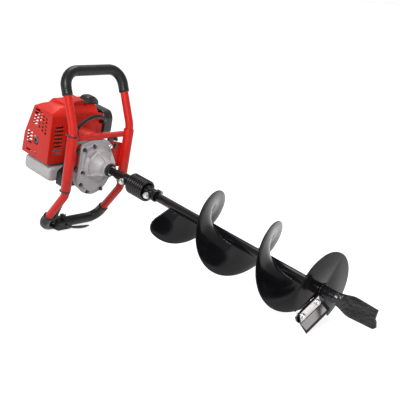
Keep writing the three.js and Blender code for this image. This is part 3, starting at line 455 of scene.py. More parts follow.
class Finish:
    """One node material. Its patterns are fixed to the piece, and their sizes are in millimetres."""

    def __init__(self, name, colour, roughness, metallic=0.0, **sockets):
        self.material = bpy.data.materials.new(name)
        self.material.use_nodes = True
        self.nodes = self.material.node_tree.nodes
        self.links = self.material.node_tree.links
        self.shader = self.nodes["Principled BSDF"]
        self.place = self.nodes.new("ShaderNodeTexCoord").outputs["Object"]
        self.put("Base Color", colour)
        self.put("Roughness", roughness)
        self.put("Metallic", metallic)
        for socket, value in sockets.items():
            self.put(socket.replace("_", " "), value)
        self.normal = None

    def put(self, socket, value):
        """Sets a shader input to a constant or links it."""
        target = self.shader.inputs[socket]
        if isinstance(value, bpy.types.NodeSocket):
            self.links.new(value, target)
        else:
            for link in list(target.links):
                self.links.remove(link)
            target.default_value = value

    def feed(self, target, value):
        if isinstance(value, bpy.types.NodeSocket):
            self.links.new(value, target)
        else:
            target.default_value = value

    def source(self, socket):
        """What feeds a shader input now: a linked output or a constant."""
        target = self.shader.inputs[socket]
        if target.is_linked:
            return target.links[0].from_socket
        value = target.default_value
        return value if isinstance(value, float) else tuple(value)

    def stretched(self, along, factor):
        """Positions squeezed along a machine axis, so that patterns run that way."""
        turn = self.nodes.new("ShaderNodeMapping")
        turn.inputs["Rotation"].default_value = Matrix([ALONG, SIDE, UP]).to_euler()
        scale = [1.0, 1.0, 1.0]
        scale["xyz".index(along)] = 1 / factor
        self.links.new(self.place, turn.inputs["Vector"])
        squeeze = self.nodes.new("ShaderNodeMapping")
        squeeze.inputs["Scale"].default_value = scale
        self.links.new(turn.outputs["Vector"], squeeze.inputs["Vector"])
        return squeeze.outputs["Vector"]

    def noise(self, size, detail=3.0, roughness=0.55, place=None):
        node = self.nodes.new("ShaderNodeTexNoise")
        node.inputs["Scale"].default_value = 1000 / size
        node.inputs["Detail"].default_value = detail
        node.inputs["Roughness"].default_value = roughness
        self.links.new(place or self.place, node.inputs["Vector"])
        return node.outputs["Fac"]

    def cells(self, size):
        node = self.nodes.new("ShaderNodeTexVoronoi")
        node.inputs["Scale"].default_value = 1000 / size
        self.links.new(self.place, node.inputs["Vector"])
        return node.outputs["Distance"]

    def remap(self, value, low, high, to_low=0.0, to_high=1.0):
        node = self.nodes.new("ShaderNodeMapRange")
        node.inputs["From Min"].default_value = low
        node.inputs["From Max"].default_value = high
        node.inputs["To Min"].default_value = to_low
        node.inputs["To Max"].default_value = to_high
        self.links.new(value, node.inputs["Value"])
        return node.outputs["Result"]

    def combine(self, operation, a, b):
        node = self.nodes.new("ShaderNodeMath")
        node.operation = operation
        self.feed(node.inputs[0], a)
        self.feed(node.inputs[1], b)
        return node.outputs["Value"]

    def tint(self, factor, colour):
        """Mixes a colour over the present one where factor is 1."""
        node = self.nodes.new("ShaderNodeMix")
        node.data_type = "RGBA"
        self.links.new(factor, node.inputs["Factor"])
        start, end = [i for i in node.inputs if i.type == "RGBA"]
        self.feed(start, self.source("Base Color"))
        self.feed(end, colour)
        self.put("Base Color", [o for o in node.outputs if o.type == "RGBA"][0])

    def blend(self, socket, factor, value):
        """Moves a number input towards value where factor is 1."""
        node = self.nodes.new("ShaderNodeMix")
        node.data_type = "FLOAT"
        self.links.new(factor, node.inputs["Factor"])
        start, end = [i for i in node.inputs if i.type == "VALUE" and i.name in ("A", "B")]
        self.feed(start, self.source(socket))
        self.feed(end, value)
        self.put(socket, [o for o in node.outputs if o.type == "VALUE"][0])

    def bump(self, height, depth, strength=1.0):
        """Relief of that depth in millimetres, on top of the relief so far."""
        node = self.nodes.new("ShaderNodeBump")
        node.inputs["Strength"].default_value = strength
        node.inputs["Distance"].default_value = depth * MM
        self.links.new(height, node.inputs["Height"])
        if self.normal is not None:
            self.links.new(self.normal, node.inputs["Normal"])
        self.normal = node.outputs["Normal"]
        self.put("Normal", self.normal)

    def edges(self, start=0.53, end=0.6, patch=6.0):
        """A mask of the sharp outer edges, broken up by noise; it carries rubbed wear on some finishes and a
        painted edge highlight on others.
        """
        geometry = self.nodes.new("ShaderNodeNewGeometry")
        sharp = self.remap(geometry.outputs["Pointiness"], start, end)
        broken = self.remap(self.noise(patch, 4), 0.42, 0.62)
        return self.combine("MULTIPLY", sharp, broken)

    def vary(self, size, amount, colour):
        """A soft cloudy shift of colour."""
        cloud = self.remap(self.noise(size, 3), 0.35, 0.7, 0.0, amount)
        self.tint(cloud, colour)

    def scuff(self, roughness, size, amount):
        """Faint rubbed patches that are rougher or smoother than the rest."""
        patches = self.remap(self.noise(size, 5, 0.65), 0.45, 0.7, 0.0, amount)
        self.blend("Roughness", patches, roughness)


def red_enamel():
    f = Finish("red_enamel", srgb(214, 27, 14), 0.4, Specular_IOR_Level=0.2)
    f.put("Coat Weight", 0.22)
    f.put("Coat Roughness", 0.14)
    f.vary(90, 0.35, srgb(184, 24, 13))
    f.scuff(0.6, 20, 0.35)
    f.tint(f.edges(0.55, 0.66, 5), srgb(120, 26, 22))
    f.bump(f.noise(2.2, 2), 0.03)
    f.bump(f.noise(40, 2), 0.12, 0.5)
    return f.material


def red_plastic():
    f = Finish("red_plastic", srgb(210, 30, 13), 0.36, Specular_IOR_Level=0.3)
    f.vary(60, 0.4, srgb(186, 26, 13))
    f.scuff(0.62, 16, 0.35)
    # painted highlight: the sharp moulded edges are tinted pale salmon to stand in for the bright lines that
    # light draws along them
    f.tint(f.edges(0.54, 0.64, 4), srgb(226, 84, 70))
    f.bump(f.noise(0.7, 2), 0.02)
    f.bump(f.noise(35, 2), 0.15, 0.5)
    return f.material


def black_gloss():
    """Stove enamel on the bit: deep black, glossy enough to mirror what is round it."""
    f = Finish("black_gloss_enamel", srgb(16, 16, 18), 0.17, Specular_IOR_Level=0.24)
    f.vary(60, 0.5, srgb(17, 17, 20))
    f.scuff(0.3, 30, 0.6)
    worn = f.edges(0.58, 0.7, 3)
    f.tint(worn, srgb(110, 108, 106))
    f.blend("Metallic", worn, 0.9)
    f.bump(f.noise(9, 2), 0.035, 0.7)
    return f.material


def disc_paint():
    """The same enamel on the flat plate, which mirrors the pale floor and so reads as grey."""
    f = Finish("disc_gloss_enamel", srgb(22, 21, 22), 0.12, Specular_IOR_Level=0.16)
    f.vary(70, 0.4, srgb(27, 27, 29))
    f.scuff(0.2, 40, 0.6)
    f.tint(f.edges(0.53, 0.6, 4), srgb(10, 10, 12))
    f.bump(f.noise(14, 2), 0.012, 0.6)
    return f.material


def point_paint():
    """Enamel over a rough hand-ground casting, so its highlights break up."""
    f = Finish("point_enamel", srgb(14, 14, 16), 0.24, Specular_IOR_Level=0.45)
    f.vary(12, 0.6, srgb(34, 33, 36))
    f.tint(f.edges(0.56, 0.68, 3), srgb(120, 118, 116))
    f.bump(f.noise(22, 2), 3.4, 0.9)
    f.bump(f.noise(7, 3), 0.7, 0.7)
    return f.material


def black_plastic():
    f = Finish("black_plastic", srgb(18, 18, 20), 0.42, Specular_IOR_Level=0.32)
    f.vary(40, 0.5, srgb(27, 27, 29))
    f.scuff(0.66, 12, 0.5)
    f.tint(f.edges(0.54, 0.64, 3), srgb(56, 56, 59))
    f.bump(f.cells(0.75), 0.03)
    return f.material


def smooth_black_plastic():
    f = Finish("smooth_black_plastic", srgb(23, 23, 26), 0.26, Specular_IOR_Level=0.5)
    f.vary(40, 0.5, srgb(32, 32, 35))
    f.scuff(0.5, 12, 0.4)
    f.bump(f.noise(1.2, 2), 0.012)
    return f.material


def grip_foam():
    f = Finish("grip_foam", srgb(18, 17, 18), 0.34, Specular_IOR_Level=0.36)
    f.vary(30, 0.6, srgb(27, 27, 30))
    f.scuff(0.55, 26, 0.5)
    f.bump(f.cells(0.8), 0.03)
    f.bump(f.noise(18, 3), 0.2, 0.6)
    return f.material


def cast_aluminium():
    f = Finish("cast_aluminium", srgb(172, 168, 170), 0.55, 0.22)
    f.vary(26, 0.55, srgb(148, 144, 146))
    f.tint(f.remap(f.noise(1.6, 3), 0.5, 0.75, 0.0, 0.25), srgb(104, 104, 108))
    f.scuff(0.34, 9, 0.4)
    # painted highlight: rib crests and sharp edges are tinted near white to stand in for the bright lines
    # that light draws on them
    f.tint(f.edges(0.53, 0.6, 9), srgb(236, 233, 234))
    f.bump(f.noise(1.1, 4, 0.6), 0.09)
    f.bump(f.noise(12, 2), 0.2, 0.6)
    return f.material


def machined_aluminium():
    f = Finish("machined_aluminium", srgb(200, 200, 204), 0.3, 0.95)
    lines = f.noise(0.8, 3, 0.6, f.stretched("x", 14))
    f.blend("Roughness", f.remap(lines, 0.4, 0.65, 0.0, 0.5), 0.45)
    f.vary(20, 0.4, srgb(176, 176, 181))
    f.bump(lines, 0.012)
    return f.material


def zinc_steel():
    f = Finish("zinc_steel", srgb(206, 206, 208), 0.27, 1.0)
    f.vary(7, 0.5, srgb(190, 186, 172))
    f.scuff(0.45, 3, 0.6)
    f.tint(f.edges(0.54, 0.66, 2), srgb(235, 235, 236))
    f.bump(f.noise(0.6, 3), 0.012)
    return f.material


def black_screw():
    f = Finish("black_oxide_steel", srgb(42, 42, 45), 0.38, 0.75)
    f.vary(5, 0.5, srgb(64, 63, 62))
    worn = f.edges(0.54, 0.66, 2)
    f.tint(worn, srgb(150, 150, 152))
    f.bump(f.noise(0.5, 2), 0.012)
    return f.material


def knife_steel():
    f = Finish("knife_steel", srgb(226, 220, 221), 0.12, 1.0)
    grind = f.noise(0.9, 4, 0.6, f.stretched("x", 1))
    f.vary(24, 0.4, srgb(196, 192, 190))
    f.blend("Roughness", f.remap(grind, 0.35, 0.7, 0.0, 0.5), 0.3)
    f.tint(f.remap(f.noise(5, 5, 0.7), 0.56, 0.74, 0.0, 0.3), srgb(164, 156, 150))
    f.bump(grind, 0.012)
    return f.material


def spring_paint():
    f = Finish("spring_paint", srgb(12, 12, 14), 0.2, Specular_IOR_Level=0.4)
    f.vary(22, 0.5, srgb(24, 24, 27))
    f.scuff(0.5, 8, 0.4)
    f.bump(f.noise(1.4, 3), 0.025)
    return f.material


def muffler_steel():
    f = Finish("muffler_steel", srgb(164, 158, 150), 0.42, 0.85)
    f.vary(30, 0.6, srgb(128, 112, 98))
    f.tint(f.remap(f.noise(12, 4), 0.5, 0.72, 0.0, 0.45), srgb(92, 76, 66))
    f.scuff(0.62, 8, 0.5)
    f.bump(f.noise(1.5, 3), 0.03)
    return f.material


def tank_plastic():
    f = Finish("tank_plastic", srgb(194, 192, 193), 0.4, Subsurface_Weight=0.3, Subsurface_Scale=0.006)
    f.vary(70, 0.4, srgb(184, 182, 182))
    f.scuff(0.58, 14, 0.4)
    f.bump(f.noise(0.8, 2), 0.02)
    f.bump(f.noise(45, 2), 0.3, 0.5)
    return f.material


def soft_rubber():
    f = Finish("soft_rubber", srgb(24, 24, 26), 0.62, Specular_IOR_Level=0.35)
    f.vary(12, 0.5, srgb(38, 37, 37))
    f.bump(f.noise(0.7, 3), 0.03)
    return f.material


def cable_sheath():
    f = Finish("cable_sheath", srgb(19, 18, 18), 0.38, Specular_IOR_Level=0.34)
    f.vary(16, 0.5, srgb(30, 28, 27))
    f.scuff(0.6, 7, 0.5)
    f.bump(f.noise(1.2, 2), 0.02)
    return f.material


def braided_rope():
    f = Finish("braided_rope", srgb(206, 204, 198), 0.8)
    f.vary(6, 0.6, srgb(150, 148, 142))
    f.bump(f.cells(1.1), 0.25)
    return f.material


def brass():
    f = Finish("brass", srgb(206, 168, 98), 0.3, 1.0)
    f.vary(5, 0.5, srgb(170, 132, 70))
    f.scuff(0.5, 3, 0.4)
    f.bump(f.noise(0.6, 2), 0.012)
    return f.material


def felt():
    f = Finish("filter_felt", srgb(74, 74, 76), 0.9)
    f.vary(5, 0.6, srgb(50, 50, 52))
    f.bump(f.noise(0.8, 4, 0.7), 0.2)
    return f.material


def floor_finish():
    """A pale floor that glows a little, so that it stays evenly white into the distance."""
    f = Finish("floor", srgb(186, 186, 186), 0.9, Specular_IOR_Level=0.1, Emission_Strength=0.8)
    f.put("Emission Color", srgb(255, 255, 255))
    f.tint(f.remap(f.noise(400, 3), 0.3, 0.7, 0.0, 0.3), srgb(182, 182, 182))
    f.bump(f.noise(6, 3), 0.05)
    return f.material


# Each kind of surface: its material, and the record slot of the pieces that wear it.
LOOKS = {
    "enamel": (red_enamel(), "red_paint"),
    "red_plastic": (red_plastic(), "red_plastic"),
    "black_gloss": (black_gloss(), "black_paint"),
    "disc": (disc_paint(), "black_paint"),
    "point": (point_paint(), "black_paint"),
    "spring": (spring_paint(), "black_paint"),
    "plastic": (black_plastic(), "black_plastic"),
    "smooth_plastic": (smooth_black_plastic(), "black_plastic"),
    "foam": (grip_foam(), "grip_foam"),
    "cast": (cast_aluminium(), "cast_aluminium"),
    "machined": (machined_aluminium(), "cast_aluminium"),
    "zinc": (zinc_steel(), "bright_steel"),
    "knife": (knife_steel(), "bright_steel"),
    "brass": (brass(), "bright_steel"),
    "screw": (black_screw(), "dark_steel"),
    "muffler": (muffler_steel(), "dark_steel"),
    "tank": (tank_plastic(), "tank_plastic"),
    "rubber": (soft_rubber(), "rubber"),
    "cable": (cable_sheath(), "rubber"),
    "rope": (braided_rope(), "rubber"),
    "felt": (felt(), "rubber"),
}


# ------------------------------------------------------------------ handle frame
SIDE_Y = 107  # side tube centrelines
TUBE_R = 12.5
SLEEVE_R = 15.5
# Each handle: its bar's x and z, the heights where its sides bend, end in the sleeves and enter the grip,
# the grip's radius and the radii of the four bends.
HANDLES = {
    "upper": {
        "bar": (-80, 267), "bend": 112, "end": 55, "grip": 203, "grip_r": 16, "bends": (60, 47, 47, 60),
    },
    "lower": {
        "bar": (-97, -234), "bend": -92, "end": -30, "grip": -184, "grip_r": 16.5, "bends": (40, 37, 37, 40),
    },
}
UPRIGHT = Matrix.Rotation(-math.pi / 2, 4, "Y")  # turns a shape drawn along X so that it stands along Z


def at(x, y, z):
    return Matrix.Translation((x, y, z))


def mirrored(side):
    """A route's points on one side of the machine, then the same points on the other side, backwards."""
    return side + [(x, -y, z) for x, y, z in reversed(side)]


def handle_tubes():
    for name, handle in HANDLES.items():
        x, z = handle["bar"]
        corners = mirrored([(0, SIDE_Y, handle["end"]), (0, SIDE_Y, handle["bend"]), (x, SIDE_Y, z)])
        route = subdivide(bent_route(corners, handle["bends"], 16), 25)
        piece(f"{name}_handle_tube", sweep(route, TUBE_R, 40), "enamel", "machine", [f"{name}_handle"])


def grip_sleeve(name, corners, corner_r, r, node):
    """A foam sleeve over a bar, rounded over at both ends, with two shallow grooves near each end."""
    route = subdivide(bent_route(corners, (corner_r, corner_r), 20), 2.0)
    travelled = [0.0]
    for a, b in zip(route, route[1:]):
        travelled.append(travelled[-1] + (b - a).length)
    radii = []
    for s in travelled:
        end = min(s, travelled[-1] - s)
        drop = (r - TUBE_R - 0.4) * (1 - math.sqrt(1 - (1 - min(end / 5, 1)) ** 2))
        groove = sum(0.7 * math.exp(-(((end - g) / 1.6) ** 2)) for g in (12, 18))
        radii.append(r - drop - groove)
    piece(name, sweep(route, radii, 40), "foam", "machine", [node], 60)


def grips():
    for name, handle in HANDLES.items():
        x, z = handle["bar"]
        start_x = x * (handle["grip"] - handle["bend"]) / (z - handle["bend"])
        corners = mirrored([(start_x, SIDE_Y, handle["grip"]), (x, SIDE_Y, z)])
        grip_sleeve(f"{name}_foam_grip", corners, handle["bends"][1], handle["grip_r"], f"{name}_grip")


def sleeves():
    """Short thick tubes that join the two handles, with the welds that hold crossbar and brackets."""
    bore_r = TUBE_R + 0.3
    profile = [
        (-75, bore_r), (-75, 14.6), (-73.8, SLEEVE_R), (98.8, SLEEVE_R),
        (100, 14.6), (100, bore_r), (-75, bore_r),
    ]
    welds = [  # both ends: x, distance inward from the sleeve's centreline, z
        ((-13.4, 11.6, -22), (-13.4, 11.6, 50)),
        ((-7.3, 13.8, -22), (-7.3, 13.8, 50)),
        ((-1, 15.6, 78), (0.8, 15.6, 95)),
        ((-13, 9.4, 96.4), (0, 15.4, 96.4)),
    ]
    for side, sign in (("left", -1), ("right", 1)):
        tube = lathe(profile, 48)
        tube.transform(at(0, sign * SIDE_Y, 0) @ UPRIGHT)
        piece(f"{side}_joint_sleeve", tube, "enamel", "machine", [f"{side}_sleeve"])
        beads = []
        for seed, ends in enumerate(welds, 3):
            route = [Vector((x, sign * (SIDE_Y - inward), z)) for x, inward, z in ends]
            beads.append(weld_bead(route, 2.0, seed))
        piece(f"{side}_sleeve_welds", merge(*beads), "enamel", "machine")


def brackets():
    soften_node("crossbar", "enamel", 0.8)
    soften_node("left_bracket", "enamel", 0.7)
    soften_node("right_bracket", "enamel", 0.7)
    bolts = []
    for y, z in ((68, 46), (-76, 44), (-76, -12)):
        bolts.append(hex_bolt((-8.2, y, z), (1, 0, 0), 10, 5, 8))
        bolts.append(hex_bolt((-12.4, y, z), (-1, 0, 0), 10, 5, 8))
    piece("bracket_bolts", merge(*bolts), "screw", "machine")
    clip = bevel(rounded_box((30, 64), (68, 79), 4, -6, 3), 1.4)
    knob = bar((2.5, 57, 72), (9, 57, 72), 4.6, 24, 1)
    piece("lead_clip", merge(clip, knob), "smooth_plastic", "machine")


# ------------------------------------------------------------------ gearbox
CASE = [
    (-70, 66), (-28, 75.5), (26, 73), (44, 58), (54, -10),
    (54, -58), (30, -90), (-6, -103), (-48, -90), (-70, -54),
]
CASE_SCREWS = [(-26, 58), (-60, 50), (-57, -22), (-58, -62), (-30, -88), (22, -85), (45, -30), (37, 52)]
COUNTER = (-31.3, 34.0)  # the countershaft's y, z
CRANK_Z = 28
RIB_ANGLES = (24, 128, 192, 252, 312)


def case_outline(shrink):
    inward = [(y - math.copysign(shrink, y + 6), z - math.copysign(shrink, z + 12)) for y, z in CASE]
    return rounded(inward, 14, 6)


def gearbox_front():
    flange = extrude(case_outline(0), -8, 2)
    step = extrude(case_outline(11), 1, 6.5)
    cone = [
        (0, 0), (0, 53), (8, 52.4), (12, 49.4), (13.6, 46.4), (17, 45.6), (18, 46.8),
        (21.6, 46.8), (22.8, 44.6), (24, 41.4), (34, 31.4), (45, 24.4), (60, 23.4), (60, 0),
    ]
    parts = [flange, lathe(cone, 96), step]
    parts.append(bar((0, *COUNTER), (17, *COUNTER), 15, 36))
    for angle in RIB_ANGLES:
        rib = extrude([(1, 50), (10, 55.5), (19, 51), (56, 28.5), (59, 20), (3, 20)], -2, 2, "y")
        parts.append(spin(rib, angle))
    for y, z in CASE_SCREWS:
        parts.append(bar((-8, y, z), (4.5, y, z), 7.2, 24))
    cavity = lathe([(-9, 0), (-9, 42.5), (13, 42.5), (36, 20), (42, 20), (42, 17.5), (50, 17.5), (50, 13.5),
                    (61, 13.5), (61, 0)], 40)
    bore = bar((-9, *COUNTER), (13.5, *COUNTER), 11.5)
    case = cast("gearbox_front_casting", parts, 1.2, 3, [cavity, bore])
    dress(case, "cast", "machine", ["gearbox_front_case"], 60)
    heads = [hex_bolt((4.5, y, z), (1, 0, 0), 9, 5, 6.6) for y, z in CASE_SCREWS]
    piece("gearbox_bolts", merge(*heads[:-1]), "screw", "machine")
    piece("gearbox_corner_bolt", merge(heads[-1]), "zinc", "machine")
    gasket = extrude(case_outline(-0.4), -8.35, -7.6)
    cut_out = extrude(case_outline(10), -9, -7)
    sheet = carve(to_object("case_gasket", gasket), cut_out)
    dress(sheet, "rubber", "machine")


def gearbox_rear():
    parts = [extrude(case_outline(3), -34, -8.3)]
    for y, z in CASE_SCREWS[2:7]:
        parts.append(bar((-24, y * 0.97, z * 0.97), (-8.3, y * 0.97, z * 0.97), 7.0, 24))
    for z in (-70, -52, -34):
        parts.append(box((-56, 40), (z - 1.6, z + 1.6), -36.5, -30))
    bracket_space = [
        box((-140, -61.7), (-24.3, 90), -12.6, -7),
        box((43.7, 140), (-24.3, 90), -12.6, -7),
    ]
    tools = [
        bar((-31, *COUNTER), (-8, *COUNTER), 29.2, 40), bar((-31, 0, CRANK_Z), (-8, 0, CRANK_Z), 12),
        bar((-38, 0, CRANK_Z), (-30, 0, CRANK_Z), 8.5), bar((-30, 0, 0), (-8, 0, 0), 9.4),
        bar((-33, *COUNTER), (-30, *COUNTER), 6.4), *bracket_space,
    ]
    case = cast("gearbox_rear_casting", parts, 1.3, 3, tools)
    dress(case, "cast", "machine", ["gearbox_rear_case"], 60)


def gear_train():
    soften_node("front_bearing", "machined", 0.25)
    for node in ("output_gear", "counter_gears", "clutch_drum", "clutch_shoe_1", "clutch_shoe_2"):
        soften_node(node, "screw", 0.25)


def output_end():
    """The lip seal, the shaft that leaves the case and the thrust washer between them."""
    seal = [(60.2, 12.5), (60.2, 20.4), (64.4, 20.4), (65.6, 19.2), (66.6, 18.6), (66.6, 17.2), (64.6, 16.4),
            (64.6, 14.6), (66.8, 13.6), (67, 12.5), (60.2, 12.5)]
    piece("lip_seal", lathe(seal, 64), "rubber", "machine", ["output_seal"])
    washer = lathe([(67.6, 12.1), (67.6, 13.6), (69, 13.6), (69, 12.1), (67.6, 12.1)], 48)
    piece("thrust_washer", washer, "zinc", "drive")
    shaft = [(-29, 0), (-29, 9), (-7, 9), (-7, 10), (49.6, 10), (50, 11.6), (91.4, 11.9), (92, 10), (117, 10),
             (118, 9), (118, 0)]
    piece("drive_shaft", lathe(shaft, 48), "black_gloss", "drive", ["output_shaft"])


# ------------------------------------------------------------------ shock coupling
# Each coupling: its body, its bolt's place, its collar and spring plug as (x, radius), and its bore's two
# ends, radius and sides.
COUPLINGS = {
    "upper": {
        "body": "drive",
        "bolt_x": 146,
        "shapes": [
            [(92.3, 0), (92.3, 13), (93.4, 14), (128, 14), (133, 17), (161, 17), (161, 0)],
            [(160, 0), (160, 20.6), (187, 20.6), (188, 19.6), (188, 0)],
        ],
        "bore": (90, 118.4, 10.3, 32),
    },
    "lower": {
        "body": "auger",
        "bolt_x": 256,
        "shapes": [
            [(206, 0), (206, 19.6), (207, 20.6), (242, 20.6), (242, 0)],
            [(240, 0), (240, 17), (272.6, 17), (274, 15.6), (274, 0)],
        ],
        "bore": (262, 290, 13.3, 40),
    },
}
BOSS_REACH = 24


def cross_bolt(x):
    """A bolt through the coupling: a hexagon head towards -Y, a nut and thread end towards +Y."""
    face = BOSS_REACH + 0.2
    head = hex_bolt((x, -face, 0), (0, -1, 0), 14, 6, 9.4, 5, 48)
    nut = bevel(extrude(disc_outline(8.1, 6), 1.6, 8), 0.7, 2, 25)
    washer = lathe([(0.2, 0), (0.2, 9.4), (1.6, 9.1), (1.6, 0)], 28)
    thread = [(7, 0)]
    for i in range(6):
        thread += [(8 + i * 0.9, 4.9), (8.45 + i * 0.9, 4.3)]
    thread += [(13.6, 3.6), (13.6, 0)]
    end = aimed(merge(nut, washer, lathe(thread, 24)), (x, face, 0), (0, 1, 0))
    return merge(head, end)


def couplings():
    for name, coupling in COUPLINGS.items():
        x = coupling["bolt_x"]
        start, end, bore_r, sides = coupling["bore"]
        parts = [lathe(shape, 48) for shape in coupling["shapes"]]
        parts.append(bar((x, -BOSS_REACH, 0), (x, BOSS_REACH, 0), 12, 40, 1.2))
        bore = bar((start, 0, 0), (end, 0, 0), bore_r, sides)
        bolt_hole = bar((x, -60, 0), (x, 60, 0), 5.3, 24)
        hub = cast(f"{name}_spring_hub", parts, 0.9, 3, [bore, bolt_hole])
        dress(hub, "black_gloss", coupling["body"], [f"{name}_coupling"], 60)
        piece(f"{name}_cross_bolt", cross_bolt(x), "zinc", coupling["body"], [f"{name}_coupling_bolt"])


SPRING = (163, 239)


def shock_spring():
    """A compression spring with open coils."""
    turns, steps, wire_r, r = 8, 340, 4, 27
    route = []
    for i in range(steps + 1):
        t = i / steps
        x = SPRING[0] + wire_r + (SPRING[1] - SPRING[0] - 2 * wire_r) * t
        route.append(Vector((x, *on_circle(r, 360 * turns * t))))
    coil = piece("coil_spring", sweep(route, wire_r, 18), "spring", "drive", ["shock_spring"])
    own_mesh(coil)


# ------------------------------------------------------------------ bit
BIT_TUBE_R = 13
FLIGHT_R = 100
PITCH = 208
FACING_X = 535  # where the screw surface points towards -Y
FLIGHT_TURNS = (-155, 753)  # degrees
PLATE = 3.5
DISC_FACE = 872
DISC_ARC = (-58, 200)
KNIFE_ANGLE = 209
POINT_ANGLE = -13


def screw_x(degrees):
    return FACING_X + PITCH * (degrees - 180) / 360


def flight():
    """The screw plate: a formed strip with a rounded rim and a swept-back first corner."""
    steps = 460
    corner_r = 32
    half = PLATE / 2
    rings = []
    for i in range(steps + 1):
        degrees = FLIGHT_TURNS[0] + (FLIGHT_TURNS[1] - FLIGHT_TURNS[0]) * i / steps
        from_start = math.radians(degrees - FLIGHT_TURNS[0]) * FLIGHT_R
        lost = max(0, corner_r - from_start)
        rim = FLIGHT_R - corner_r + math.sqrt(corner_r**2 - lost**2)
        x = screw_x(degrees)
        inner = BIT_TUBE_R + 0.3
        section = [(inner, -half)]
        for k in range(1, 6):
            section.append((inner + (rim - 1.2 - inner) * k / 5, -half))
        section += [(rim - 0.35, -half + 0.45), (rim, 0), (rim - 0.35, half - 0.45)]
        for k in range(5, 0, -1):
            section.append((inner + (rim - 1.2 - inner) * k / 5, half))
        section.append((inner, half))
        rings.append([(x + dx, *on_circle(r, degrees)) for r, dx in section])
    piece("screw_flight", loft(rings), "black_gloss", "auger", ["flight"], 35)


def flight_welds():
    """A continuous bead on each side of the flight's foot."""
    beads = []
    for offset, seed in ((-PLATE / 2 - 0.9, 11), (PLATE / 2 + 0.9, 12)):
        route = []
        for degrees in range(FLIGHT_TURNS[0] + 4, FLIGHT_TURNS[1] - 3, 6):
            route.append(Vector((screw_x(degrees) + offset, *on_circle(BIT_TUBE_R + 0.5, degrees))))
        beads.append(weld_bead(route, 2.0, seed, 2.6))
    piece("flight_root_welds", merge(*beads), "black_gloss", "auger", (), 60)


def bit_tube():
    ring = [(262.4, 11), (262.4, 12.4), (263.2, 13), (873, 13), (873.6, 12.4), (873.6, 11), (262.4, 11)]
    piece("bit_centre_tube", lathe(ring, 64), "black_gloss", "auger", ["bit_tube"])


def arc_outline(r_in, r_out, start, end, steps=90):
    """The part of a ring between two angles."""
    turns = [start + (end - start) * i / steps for i in range(steps + 1)]
    return [on_circle(r_out, t) for t in turns] + [on_circle(r_in, t) for t in reversed(turns)]


def cutter_disc():
    plate = bevel(extrude(arc_outline(13.3, FLIGHT_R, *DISC_ARC), DISC_FACE - 4, DISC_FACE), 0.7, 2, 60)
    piece("cutter_plate", plate, "disc", "auger", ["cutter_disc"])
    beads = []
    for x, r in ((DISC_FACE + 0.6, 16.4), (DISC_FACE - 4.8, 14.2)):
        route = [Vector((x, *on_circle(r, a))) for a in range(DISC_ARC[0] + 2, DISC_ARC[1] - 1, 6)]
        beads.append(weld_bead(route, 2.1, 21, 2.4))
    piece("disc_weld", merge(*beads), "black_gloss", "auger", (), 60)


def knife_place(u, v, x):
    """A point given along the knife's radius, across it and along the bit."""
    turned = Matrix.Rotation(math.radians(KNIFE_ANGLE), 3, "X") @ Vector((0, u, v))
    return Vector((x, turned.y, turned.z))


def knife():
    soften_node("knife_holder", "black_gloss", 0.5)
    soften_node("knife", "black_gloss", 0.35)
    face = DISC_FACE + 5.3
    flat = [(face, -3.6), (face, 26.4), (face + 0.12, 26.4), (face + 0.12, -3.6)]
    bevelled = [(face + 0.9, 28.8), (892.3, 42.8), (892.42, 42.7), (face + 1.02, 28.7)]
    ground = merge(extrude(flat, 21, 90.8, "y"), extrude(bevelled, 16, 92.4, "y"))
    piece("knife_ground_faces", spin(ground, KNIFE_ANGLE), "knife", "auger")
    bolts = []
    for u in (29, 82):
        bolts.append(hex_bolt(knife_place(u, 12, face), (1, 0, 0), 12, 4.5, 8.5, 4.2, 12))
        bolts.append(hex_bolt(knife_place(u, 12, DISC_FACE - 4.1), (-1, 0, 0), 12, 6, 8.5))
    piece("knife_bolts", merge(*bolts), "zinc", "auger")


def fishtail_point():
    """A hub that flares into a flat forked spade; the prongs are drawn flat, not ground to wedges."""
    spade = rounded(
        [(905, -15), (921, -15.5), (954, -26), (1027, -21.5), (1033, -15), (1027, -1), (1023, 1), (1022, 24),
         (955, 26), (921, 15.5), (905, 15)],
        [0, 8, 10, 2, 2, 1, 1, 2, 10, 8, 0], 6,
    )
    blade = spin(extrude(spade, -3.7, 3.7, "y"), POINT_ANGLE)
    hub = lathe([(874, 0), (874, 14.4), (875, 15), (912, 15), (920, 13.5), (934, 6), (938, 0)], 48)
    rings = []
    for x, thick, wide in ((900, 14.6, 14.3), (916, 11, 15.6), (932, 6.5, 19.5), (952, 3.2, 22.1)):
        rings.append([(x, thick * y, wide * z) for y, z in disc_outline(1)])
    root = spin(loft(rings), POINT_ANGLE)
    bore = bar((869, 0, 0), (886, 0, 0), 7.7, 32)
    tip = cast("point_casting", [blade, hub, root], 0.8, 3, [bore])
    dress(tip, "point", "auger", ["fishtail_point"], 50)


# ------------------------------------------------------------------ engine core
CRANK = (0, CRANK_Z)


def fan_housing():
    """The bell round the fan and clutch, with ribs, a bolt flange and a cast lip."""
    bell = [
        (-34.3, 9), (-34.3, 40), (-35.5, 42), (-44, 45), (-70, 50.4), (-95, 51), (-96, 50.2),
        (-96, 48), (-71, 48), (-46, 42), (-38, 40.5), (-38, 9), (-34.3, 9),
    ]
    rib_outline = [(-38, 40), (-38, 44.5), (-70, 52), (-94, 52), (-94, 49.5), (-70, 49.5)]
    ribs = []
    for i in range(9):
        rib = extrude(rib_outline, -1.4, 1.4, "y")
        ribs.append(bevel(spin(rib, 100 + 20 * i, CRANK), 0.5))
    piece("fan_bell", lathe(bell, 96, CRANK), "cast", "machine", ["fan_housing"])
    piece("fan_bell_ribs", merge(*ribs), "cast", "machine")
    bolts = []
    for angle in (210, 255, 300, 345):
        bolts.append(socket_screw((-34.2, *on_circle(34, angle, CRANK)), (1, 0, 0), 3.6, 4.5))
    piece("fan_bell_screws", merge(*bolts), "zinc", "machine")


